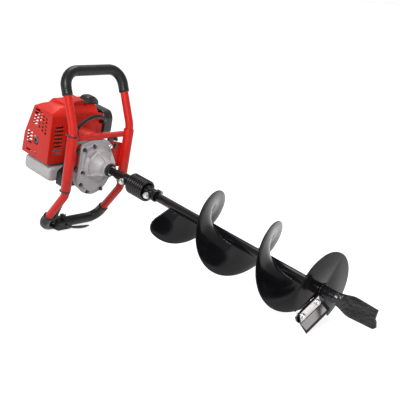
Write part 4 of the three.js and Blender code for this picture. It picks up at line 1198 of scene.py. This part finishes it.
def crankcase():
    parts = [lathe([(-186, 0), (-186, 46), (-184, 48), (-143, 48), (-142, 49.5), (-140, 49.5), (-139, 48),
                    (-98, 48), (-96.3, 46.5), (-96.3, 0)], 72, CRANK)]
    parts.append(rounded_box((-182, -118), (-30, 30), 8, CRANK_Z, 76, "z"))
    parts.append(rounded_box((-176, -124), (-38, 38), 6, -39.7, 0, "z"))
    for i in range(5):
        parts.append(box((-181, -119), (-47.4 + i * 23.7 - 1.5, -47.4 + i * 23.7 + 1.5), -26, 8, "z"))
    tools = [
        bar((-172, *CRANK), (-128, *CRANK), 36, 48), bar((-190, *CRANK), (-90, *CRANK), 10.3, 32),
        bar((-150, 0, CRANK_Z), (-150, 0, 81), 23.5, 48),
    ]
    case = cast("crankcase_casting", parts, 1.4, 3, tools)
    dress(case, "cast", "machine", ["crankcase"], 60)


PLUG = (-141, 3)  # the spark plug's x, y


def cylinder():
    soften_node("cylinder", "cast", 0.5)
    plug = lathe([(0, 0), (0, 6.5), (6, 6.5), (6, 9), (12, 9), (12, 6.2), (14, 5.2), (20, 4.8), (20, 0)], 32)
    plug.transform(at(*PLUG, 134.2) @ UPRIGHT)
    hexagon = extrude(disc_outline(9.4, 6, PLUG), 143.4, 149, "z")
    whole = merge(plug, bevel(hexagon, 0.6, 2, 25))
    piece("ignition_plug", whole, "zinc", "machine", ["spark_plug"])
    soften_node("piston", "machined", 0.3)
    for node in ("connecting_rod", "crankshaft_front", "crankshaft_rear"):
        soften_node(node, "screw", 0.3)
    soften_node("flywheel", "cast", 0.4)


def stand():
    soften_node("engine_stand", "plastic", 1.2)


# ------------------------------------------------------------------ covers
SHROUD_Y = (-49.7, 60)
SHROUD_TOP = 150
CABLE_HOLE = (73, 95.2)  # the y, z where the throttle cable passes the carburettor's screen
HOOD_R = 52


def moulded(outline, low, high, axis="y", edge=4.0):
    """An extruded shape whose rims are rounded like a moulding's."""
    return bevel(extrude(outline, low, high, axis), edge, 4, 50)


def shroud():
    outer = [(-97, 60), (-97, 126), (-124, SHROUD_TOP), (-192, SHROUD_TOP), (-226, 118), (-226, 60)]
    outer = rounded(outer, [0, 8, 8, 8, 8, 0], 8)
    inner = [(-100, 50), (-100, 124.5), (-125, 147), (-190.5, 147), (-223, 116.5), (-223, 50)]
    inner = rounded(inner, [0, 6, 6, 6, 6, 0], 8)
    shell = to_object("engine_cowl", moulded(outer, *SHROUD_Y))
    hump = bevel(extrude([(-40, 145), (-15, 159), (16.5, 161), (16.5, 145)], -180, -120), 3.5, 4, 25)
    hump_inside = extrude([(-34, 144), (-14, 156.3), (13.8, 158.4), (13.8, 144)], -177.5, -126)
    unite(shell, hump)
    tools = [
        moulded(inner, SHROUD_Y[0] + 2.7, SHROUD_Y[1] - 3, "y", 3),
        hump_inside,
        rounded_box((-196, -112), (50, 128), 6, 50, 70, "y"),
        bar((-240, *CRANK), (-90, *CRANK), HOOD_R, 96),
    ]
    for i in range(5):
        tools.append(rounded_box((-231, -222), (70 + 8 * i, 73.5 + 8 * i), 1.5, -34, 34, "y"))
    carve(shell, *tools)
    dress(shell, "red_plastic", "machine", ["engine_shroud"], 50)
    ring = [(-98.6, 52.1), (-98.6, 55), (-40, 55), (-38, 54.4), (-37, 53), (-37, 52.1), (-98.6, 52.1)]
    hood = to_object("fan_hood", lathe(ring, 120, CRANK))
    carve(hood, box((-112, -30), (-70, 70), -40, 48, "z"))
    dress(hood, "red_plastic", "machine", (), 50)
    wing_outline = rounded([(57.3, 52), (82, 52), (82, 114), (72, 124), (57.3, 124)], [0, 6, 5, 5, 0], 6)
    screen = to_object("carburettor_screen", bevel(extrude(wing_outline, -100, -97), 0.9, 3, 50))
    carve(screen, bar((-103, *CABLE_HOLE), (-94, *CABLE_HOLE), 7, 40))
    dress(screen, "red_plastic", "machine", (), 50)
    ridge_outline = [(-123, 149), (-98, 126.8), (-98, 128), (-122, 150.6), (-186, 151), (-186, 149)]
    ridges = [bevel(extrude(ridge_outline, y - 2, y + 2, "y"), 0.7, 3) for y in (-30, 30)]
    piece("cowl_ridges", merge(*ridges), "red_plastic", "machine")
    screws = []
    for x, y, z, direction in (
        (-97, -40, 112, (1, 0, 0)), (-97, 50, 112, (1, 0, 0)), (-226, -40, 100, (-1, 0, 0)),
        (-226, 50, 100, (-1, 0, 0)), (-210, 60, 76, (0, 1, 0)),
    ):
        screws.append(socket_screw((x, y, z), direction, 3.6, 3.6))
    piece("cowl_screws", merge(*screws), "screw", "machine")


def dome(outline, centre, levels):
    """The outline, in y and z, drawn along x: (x, scale) pairs shrink it about its centre."""
    cy, cz = centre
    rings = []
    for x, scale in levels:
        rings.append([(x, cy + (y - cy) * scale, cz + (z - cz) * scale) for y, z in outline])
    return loft(rings)


def plug_cover():
    """A low smooth dome beside the hump, over the lead to the spark plug."""
    outer = [(12, 140), (12, 154), (26, 171), (56, 171), (73, 155), (73, 140)]
    outer = rounded(outer, [0, 9, 15, 16, 8, 0], 12)
    inner = [(19.5, 130), (19.5, 151), (29.2, 165.5), (48.8, 165.5), (65.5, 151), (65.5, 130)]
    inner = rounded(inner, [0, 6, 12, 12, 6, 0], 10)
    levels = [(-150, 0.84), (-149.4, 0.92), (-148, 0.97), (-145.5, 0.99), (-143, 1), (-126, 1), (-122, 0.985),
              (-119, 0.96), (-117.4, 0.92), (-116.8, 0.85)]
    shell = to_object("ignition_cover", dome(outer, (42.5, 145), levels))
    shroud_top = box((-200, -100), (-80, SHROUD_Y[1] + 0.3), 100, SHROUD_TOP + 0.3, "z")
    below = box((-200, -100), (50, 80), 100, 145, "z")
    carve(shell, extrude(inner, -142, -128), shroud_top, below)
    dress(shell, "smooth_plastic", "machine", ["plug_cover"], 50)


COVER_FACE = -112
COVER = [(-99, -30), (-99, 126), (-122, 146), (-190, 140), (-230, 32), (-235, -30)]
COVER_INNER = [(-102, -27), (-102, 124.5), (-123, 143), (-188, 137), (-227, 31), (-232, -27)]


SLOT_PITCH = 11


def top_slope(lower):
    """Everything above the guard's sloping top."""
    slope = [(-125, 125), (-50, 149), (-40, 170), (-125, 170)]
    return extrude([(y, z - lower) for y, z in slope], -245, -90)


def side_slot(x, z, height, corner=3.2):
    """A slot through the guard's large face."""
    return rounded_box(x, (z, z + height), corner, COVER_FACE - 5, COVER_FACE + 5, "y")


def muffler_cover():
    """The guard over the muffler, with the slots that let its heat out."""
    shell = to_object("exhaust_guard", extrude(rounded(COVER, [4, 8, 12, 12, 6, 4], 8), COVER_FACE, -50, "y"))
    carve(shell, top_slope(0))
    add_bevel(shell, 4.5, 4, 32)
    apply_modifiers(shell)
    inner = rounded(COVER_INNER, [2, 6, 10, 10, 5, 2], 8)
    hollow = to_object("hollow", extrude(inner, COVER_FACE + 2.5, -40, "y"))
    carve(hollow, top_slope(3))
    core = bmesh.new()
    core.from_mesh(hollow.data)
    core.transform(TO_MACHINE)
    bpy.data.objects.remove(hollow)
    tools = [core]
    for i in range(8):
        z = -2 + 12 * i
        tools.append(rounded_box((-98, -64), (z, z + 7), 3.2, -105, -90))
    for row in range(5):
        z = 73 + SLOT_PITCH * row
        tools.append(side_slot((-194 + 2 * row, -169 + 2 * row), z, 7))
        tools.append(side_slot((-163 + row, -153 + row), z - 4, 7))
        tools.append(side_slot((-146, -136), z - 11, 7))
        tools.append(side_slot((-130, -120), z - 15, 7))
    for row in range(4):
        tools.append(side_slot((-217, -188), 6 + SLOT_PITCH * row, 6.5, 1.5))
    tools.append(side_slot((-213, -188), -18, 6, 2.8))
    tools.append(side_slot((-172, -152), -18, 6, 2.8))
    tools.append(side_slot((-181, -155), 12, 26, 8))
    tools.append(rounded_box((-222, -112), (-104, -60), 6, -35, -25, "z"))
    for row in range(9):
        z = 1 + SLOT_PITCH * row
        tools.append(rounded_box((-105, -62), (z, z + 7), 3, -245, -196))
    carve(shell, *tools)
    dress(shell, "red_plastic", "machine", ["muffler_cover"], 50)


def muffler():
    body = moulded(rounded([(-182, 6), (-118, 6), (-118, 86), (-182, 86)], 14, 8), -99.5, -52, "y", 7)
    seam = moulded(rounded([(-184, 4), (-116, 4), (-116, 88), (-184, 88)], 15, 8), -77, -74, "y", 1.2)
    panel = moulded(rounded([(-172, 40), (-128, 40), (-128, 76), (-172, 76)], 10, 6), -101, -98, "y", 1.2)
    flange = moulded(rounded([(-181, 12), (-155, 12), (-155, 38), (-181, 38)], 7, 6), -103, -98, "y", 1.0)
    piece("exhaust_box", merge(body, seam, panel, flange), "muffler", "machine", ["muffler"])
    pipe = lathe([(0, 7.2), (0, 9.5), (10.6, 9.5), (11.6, 8.9), (11.6, 7.8), (1.5, 7.4), (1.5, 0), (0, 0),
                  (0, 7.2)], 40)
    pipe = aimed(pipe, (-168, -101.5, 25), (0, -1, 0))
    piece("exhaust_outlet", pipe, "muffler", "machine")


PULL_X = -210  # where the starter rope leaves its housing


def starter():
    """The recoil starter: a domed cover with air slots, its reel, grip and rope."""
    profile = [(-226, 0), (-226, 36), (-225, 39.5), (-222, 43.5), (-216.5, 47.2), (-210, 48.3), (-187.5, 49),
               (-186.3, 48.2), (-186.3, 45.5), (-216, 44.8), (-222, 38), (-222, 0)]
    cover = to_object("recoil_cover", lathe(profile, 96, CRANK))
    tools = [rounded_box((-214, -206), (CRANK_Z - 5, CRANK_Z + 5), 2, 40, 60, "y")]
    for i in range(12):
        slot = rounded_box((18, 34), (-2.4, 2.4), 2.2, -235, -215)
        tools.append(spin(slot, 30 * i + 15, CRANK))
    for i in range(10):
        slot = rounded_box((-207, -193), (-2, 2), 1.8, 40, 56, "z")
        tools.append(spin(slot, 36 * i + 110, CRANK))
    carve(cover, *tools)
    dress(cover, "plastic", "machine", ["starter_cover"], 50)
    hub = lathe([(-229, 0), (-229, 7), (-228, 9), (-225.6, 10), (-225.6, 0)], 40, CRANK)
    piece("recoil_hub_cap", hub, "smooth_plastic", "machine")
    screws = []
    for angle in (45, 135, 225, 315):
        screws.append(socket_screw((-222.6, *on_circle(41.2, angle, CRANK)), (-1, 0, 0), 3, 3))
    piece("recoil_screws", merge(*screws), "zinc", "machine")
    soften_node("starter_reel", "plastic", 0.5)
    grip = [(0, 0), (0, 5), (1.5, 7), (4, 8.2)]
    for i in range(9):
        grip += [(7 + 4 * i, 9.6 - 0.28 * abs(i - 4)), (9 + 4 * i, 8.8 - 0.28 * abs(i - 4))]
    grip += [(44, 8.2), (46.5, 7), (48, 5), (48, 0)]
    bar_grip = lathe(grip, 36)
    bar_grip.transform(at(PULL_X, 62, CRANK_Z - 24) @ UPRIGHT @ Matrix.Diagonal((1, 0.68, 1, 1)))
    neck = bar((PULL_X, 50.4, CRANK_Z), (PULL_X, 58, CRANK_Z), 5.6, 28, 1)
    piece("pull_grip", merge(bar_grip, neck), "plastic", "pull", ["starter_handle"], 50)
    route = [Vector((PULL_X, 20 + 2 * i, CRANK_Z)) for i in range(17)]
    rope = piece("pull_rope", sweep(route, 1.9, 14), "rope", None)
    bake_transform(rope)


def carburettor():
    parts = [
        rounded_box((-168, -132), (60, 82), 3, 82, 118, "z"),
        rounded_box((-162, -138), (45, 62), 3, 88, 112, "z"),
        rounded_box((-162, -138), (61, 81), 3, 72, 84, "z"),
        bar((-168, 71, 104), (-172, 71, 104), 6, 28, 1),
        bar((-133, 70, 91), (-130.6, 70, 91), 6.5, 28, 0.8),
    ]
    tools = [bar((-150, 43, 100), (-150, 84, 100), 10, 40), bar((-150, 71, 70), (-150, 71, 76.5), 7.4, 32)]
    body = cast("carburettor_casting", parts, 0.9, 2, tools)
    dress(body, "cast", "machine", ["carburettor"], 50)
    jets = [socket_screw((-168.1, 75, 92 + 9 * i), (-1, 0, 0), 2.2, 4) for i in range(2)]
    jets.append(bar((-137.6, 70, 78), (-133.8, 70, 78), 1.7, 16, 0.4))
    piece("carburettor_jets", merge(*jets), "brass", "machine")
    bulb = lathe([(0, 0), (0, 6.9), (2.5, 7), (4, 6.5), (8, 5.6), (10.4, 3.6), (11.4, 0)], 40)
    bulb = aimed(bulb, (-150, 71, 71.4), (0, 0, -1))
    piece("priming_bulb", bulb, "rubber", "primer", ["primer_bulb"])
    soften_node("choke_lever", "plastic", 0.6)


def air_filter():
    outer = [(-176, 54), (-98, 54), (-92, 61), (-92, 106), (-106, 126), (-176, 126)]
    outer = rounded(outer, [8, 6, 6, 10, 12, 10], 8)
    inner = [(-173, 57), (-99, 57), (-95, 62), (-95, 105), (-107.5, 123), (-173, 123)]
    inner = rounded(inner, [6, 4, 4, 8, 10, 8], 8)
    shell = to_object("filter_cover", moulded(outer, 82.3, 118, "y", 5))
    tools = [moulded(inner, 85.3, 115, "y", 3.5), bar((-150, 80, 100), (-150, 95, 100), 10, 40)]
    for i in range(5):
        z = 68 + 9 * i
        tools.append(rounded_box((-168, -128), (z, z + 3), 1.4, 116.9, 120, "y"))
    tools.append(rounded_box((-170, -104), (90.6, 92.2), 0, 124.8, 130, "z"))
    carve(shell, *tools)
    dress(shell, "smooth_plastic", "machine", ["air_filter_cover"], 50)
    profile = [(0, 0), (0, 9), (1, 10), (7, 10), (8.6, 8.6), (9, 5), (9, 0)]
    ribs = []
    for i in range(10):
        ribs.append(bar((0.8, *on_circle(10, 36 * i)), (7, *on_circle(9.8, 36 * i)), 0.9, 8))
    knob = aimed(merge(lathe(profile, 40), *ribs), (-113, 117.2, 76), (0, 1, 0))
    piece("filter_knob", knob, "smooth_plastic", "machine")
    soften_node("air_filter_element", "felt", 0.8)


# ------------------------------------------------------------------ fuel
NECK_X, NECK_Z = -160, -66  # the filler neck's axis, parallel to Y
FUEL_ROUTE = [
    (-150, 52, -39.5), (-150, 52, -10), (-118, 66, 20), (-112, 70, 60), (-126, 70, 78), (-137.5, 70, 78),
]


def fuel_tank():
    outline = rounded(rectangle((-97, 94), (-94, -40)), [30, 24, 22, 22], 12)
    tank = bevel(extrude(outline, -239, -106), 20, 8, 50)
    neck = bar((NECK_X, 88, NECK_Z), (NECK_X, 102, NECK_Z), 15, 56, 0.8)
    shell = to_object("tank_shell", merge(tank, neck))
    inside = rounded(rectangle((-94, 91), (-91, -43)), [27, 21, 19, 19], 12)
    hollow = bevel(extrude(inside, -236, -109), 17, 7, 50)
    add_remesh(shell, 1.4)
    add_smoothing(shell, 3)
    apply_modifiers(shell)
    carve(shell, hollow, bar((NECK_X, 84, NECK_Z), (NECK_X, 108, NECK_Z), 12, 40))
    dress(shell, "tank", "machine", ["fuel_tank"], 50)
    seam_outline = rounded(rectangle((-239.8, -105.2), (-94.8, -39.2)), 20, 10)
    seam = to_object("tank_seam", bevel(extrude(seam_outline, -0.9, 0.9, "y"), 0.5, 2, 50))
    seam_inside = rounded(rectangle((-237.5, -107.5), (-92.5, -41.5)), 18, 10)
    carve(seam, extrude(seam_inside, -3, 3, "y"))
    dress(seam, "tank", "machine")
    line = smooth_route(FUEL_ROUTE, 14)
    piece("petrol_hose", sweep(line, 2.5, 18), "rubber", "machine", ["fuel_line"])
    grommet = lathe([(0, 0), (0, 6.4), (1.4, 7), (3, 6.4), (3.6, 4.6), (3.6, 0)], 32)
    start = Vector(FUEL_ROUTE[0])
    grommet = aimed(grommet, start - Vector((0, 0, 0.7)), (0, 0, 1))
    piece("hose_grommet", grommet, "rubber", "machine")


def fuel_cap():
    profile = [
        (97, 15.4), (97, 20.2), (98, 20.8), (104, 20.8), (105.4, 19.8), (106, 17), (105.2, 13.6),
        (105.2, 1), (103, 1), (103, 15.4), (97, 15.4),
    ]
    ring = lathe(profile, 72)
    plate = lathe([(103.2, 0), (103.2, 6), (105.2, 6), (105.2, 0)], 32)
    ribs = []
    for i in range(24):
        ribs.append(bar((98, *on_circle(20.6, 15 * i)), (104.4, *on_circle(20.4, 15 * i)), 1.1, 8, 0.3))
    lug = bevel(rounded_box((-14, 14), (-2.6, 2.6), 2, 104.6, 109), 0.8)
    whole = merge(ring, plate, lug, *ribs)
    whole.transform(at(NECK_X, 0, NECK_Z) @ Matrix.Rotation(math.pi / 2, 4, "Z"))
    piece("filler_cap", whole, "plastic", "cap", ["fuel_cap"], 50)


# ------------------------------------------------------------------ throttle control
CABLE_R = 5.8
CABLE_ROUTE = [
    (-130, 70, 91), (-112, 73, 92), (-98, 73, 95), (-82, 71, 101), (-66, 61, 113),
    (-57, 40, 125), (-50, 12, 131), (-43, -20, 128), (-36, -48, 119), (-29, -70, 105),
    (-23, -82, 86), (-21, -86, 60), (-21, -86.5, 10), (-21, -86.5, -40), (-25, -86.5, -82),
    (-39, -85, -135), (-55, -84, -174), (-67, -83, -200), (-73, -80, -213), (-76, -77, -217),
]


def throttle_cable():
    """The cable's split hose: ridged all along, smooth where the ferrules hold it."""
    route = subdivide(smooth_route(CABLE_ROUTE, 8), 1.6)
    radii = [CABLE_R - (0.35 if i % 2 else 0) for i in range(len(route))]
    piece("throttle_hose", sweep(route, radii, 20), "cable", "machine", ["throttle_cable"], 60)
    ends = []
    for start, onward in ((route[0], route[6]), (route[-1], route[-7])):
        ferrule = lathe([(-1, 0), (-1, 6.6), (0, 7.2), (9, 7.2), (11, 6.2), (11, 0)], 32)
        ends.append(aimed(ferrule, start, (onward - start).normalized()))
    piece("cable_ferrules", merge(*ends), "smooth_plastic", "machine")


# Each cable tie: its height, the radius of the tube it goes round, and the cable's x and y there.
TIES = [(97, SLEEVE_R + 0.2, -26.5, -76), (-79, TUBE_R + 0.3, -24.6, -86.5)]


def tie_strap(loop, half_width, thickness):
    """A flat band along a level loop of points."""
    section = [(0, -half_width), (thickness, -half_width), (thickness, half_width), (0, half_width)]
    rings = []
    for i, point in enumerate(loop):
        ahead = (loop[(i + 1) % len(loop)] - loop[i - 1]).normalized()
        out = ahead.cross(Vector((0, 0, 1)))
        rings.append([point + Vector((0, 0, dz)) + out * d for d, dz in section])
    return loft(rings, closed=True)


def cable_ties():
    """Two straps that hold the cable to the left tube."""
    for index, (z, tube_r, cable_x, cable_y) in enumerate(TIES, 1):
        centre = Vector((0, -SIDE_Y, z))
        cable = Vector((cable_x, cable_y, z))
        across = (cable - centre).normalized()
        other = Vector((0, 0, 1)).cross(across)
        loop = []
        for middle, r, start, turn, steps in ((centre, tube_r, 75, 210, 12), (cable, CABLE_R, -75, 150, 8)):
            for k in range(steps + 1):
                a, b = on_circle(r, start + turn * k / steps)
                loop.append(middle + across * a + other * b)
        x, y = (centre + other * (tube_r + 2.6) + across * 4).to_2d()
        head = rounded_box((x - 3.4, x + 3.4), (y - 2.6, y + 2.6), 1, z - 3.6, z + 3.6, "z")
        tie = merge(tie_strap(loop, 2.4, 1.3), bevel(head, 0.6))
        piece(f"cable_tie_{index}", tie, "smooth_plastic", "machine")


def lever():
    """The throttle lever: a flat hub on an upright pin, and a leaf-shaped blade ahead of the grip."""
    hub_outline = rounded([(-70, -44), (-58, -44), (-50, -30), (-56, -18), (-70, -24)], 3)
    hub = bevel(extrude(hub_outline, -236, -226, "z"), 1.2)
    pin = bar((-64, -34, -242), (-64, -34, -216), 2.5, 20, 0.5)
    spine = [(-58, -36, -231), (-48, -20, -232), (-43, 0, -233), (-42, 22, -234), (-45, 42, -235)]
    route = smooth_route(spine, 8)
    rings = []
    for i, centre in enumerate(route):
        t = i / (len(route) - 1)
        tall = 3 + 2.4 * math.sin(math.pi * t**1.4) - 1.4 * t**6
        thick = 2.4 + 0.8 * (1 - t) - 1.2 * t**6
        rings.append([centre + Vector((thick * x, 0, tall * z)) for x, z in disc_outline(1, 20)])
    piece("throttle_lever", merge(hub, pin, loft(rings)), "smooth_plastic", "trigger",
          ["throttle_trigger"], 50)


def throttle_control():
    soften_node("throttle_housing", "plastic", 1.4)
    lever()
    soften_node("trigger_lock", "plastic", 0.8)
    soften_node("stop_switch", "smooth_plastic", 0.7)
    places = ((-112, -226), (-64, -236), (-92, -214))
    screws = [socket_screw((x, -70, z), (0, -1, 0), 2.8, 2.4) for x, z in places]
    piece("control_screws", merge(*screws), "screw", "machine")


# ------------------------------------------------------------------ camera, lights, floor
CAMERA_AT = (1797.1, -1549.8, 847.6)
CAMERA_AHEAD = (-0.6160, 0.7010, -0.3580)
CAMERA_UP = (-0.3757, 0.1380, 0.9164)
LENS = 74.1
FLOOR_SIZE = 60  # half its width, in metres, so that it reaches past the horizon


def camera():
    """Looks at the bit's shaft from the muffler side, a little above and ahead of the machine."""
    data = bpy.data.cameras.new("camera")
    data.lens = LENS
    data.sensor_width = 36
    data.clip_end = 200
    view = bpy.data.objects.new("camera", data)
    bpy.context.scene.collection.objects.link(view)
    eye = place(*CAMERA_AT)
    forward = (TO_ROW.to_3x3() @ Vector(CAMERA_AHEAD)).normalized()
    top = (TO_ROW.to_3x3() @ Vector(CAMERA_UP)).normalized()
    right = forward.cross(top).normalized()
    top = right.cross(forward)
    view.matrix_world = Matrix(
        [[right[i], top[i], -forward[i], eye[i]] for i in range(3)] + [[0, 0, 0, 1]]
    )
    bpy.context.scene.camera = view


SKY_BELOW = 0.3
SKY_ABOVE = 0.5


def area_light(name, position, target, size, power):
    data = bpy.data.lights.new(name, "AREA")
    data.shape = "DISK"
    data.size = size
    data.energy = power
    lamp = bpy.data.objects.new(name, data)
    bpy.context.scene.collection.objects.link(lamp)
    lamp.location = position
    lamp.rotation_euler = (Vector(target) - Vector(position)).to_track_quat("-Z", "Y").to_euler()


def sky(world):
    """Soft light from all round: white at the horizon, dimmer overhead and dimmest from below."""
    world.use_nodes = True
    tree = world.node_tree
    direction = tree.nodes.new("ShaderNodeTexCoord").outputs["Generated"]
    split = tree.nodes.new("ShaderNodeSeparateXYZ")
    tree.links.new(direction, split.inputs["Vector"])
    height = tree.nodes.new("ShaderNodeMapRange")
    height.inputs["From Min"].default_value = -1
    height.inputs["From Max"].default_value = 1
    tree.links.new(split.outputs["Z"], height.inputs["Value"])
    ramp = tree.nodes.new("ShaderNodeValToRGB")
    steps = ramp.color_ramp.elements
    steps[0].position = 0.47
    steps[0].color = (SKY_BELOW, SKY_BELOW, SKY_BELOW, 1)
    steps[1].position = 0.54
    steps[1].color = (SKY_ABOVE, SKY_ABOVE, SKY_ABOVE, 1)
    for position in (0.495, 0.512):
        steps.new(position).color = (1, 1, 1, 1)
    tree.links.new(height.outputs["Result"], ramp.inputs["Fac"])
    tree.links.new(ramp.outputs["Color"], tree.nodes["Background"].inputs["Color"])
    tree.nodes["Background"].inputs["Strength"].default_value = 1


def studio():
    world = bpy.data.worlds.new("studio")
    bpy.context.scene.world = world
    sky(world)
    area_light("key", (1.2, -2.4, 2.1), (0, 0, 0.2), 1.1, 84)
    area_light("top", (-0.8, 0.6, 2.8), (0, 0, 0.2), 1.6, 34)
    corners = rectangle((-FLOOR_SIZE, FLOOR_SIZE), (-FLOOR_SIZE, FLOOR_SIZE))
    mesh = bpy.data.meshes.new("floor")
    mesh.from_pydata([(x, y, -0.0005) for x, y in corners], [], [(0, 1, 2, 3)])
    floor = bpy.data.objects.new("floor", mesh)
    bpy.context.scene.collection.objects.link(floor)
    mesh.materials.append(floor_finish())
    floor.visible_diffuse = False
    bpy.context.scene.view_settings.view_transform = "Standard"


camera()
studio()
handle_tubes()
grips()
sleeves()
brackets()
gearbox_front()
gearbox_rear()
gear_train()
output_end()
couplings()
shock_spring()
bit_tube()
flight()
flight_welds()
cutter_disc()
knife()
fishtail_point()
fan_housing()
crankcase()
cylinder()
stand()
shroud()
plug_cover()
muffler_cover()
muffler()
starter()
carburettor()
air_filter()
fuel_tank()
fuel_cap()
throttle_cable()
cable_ties()
throttle_control()
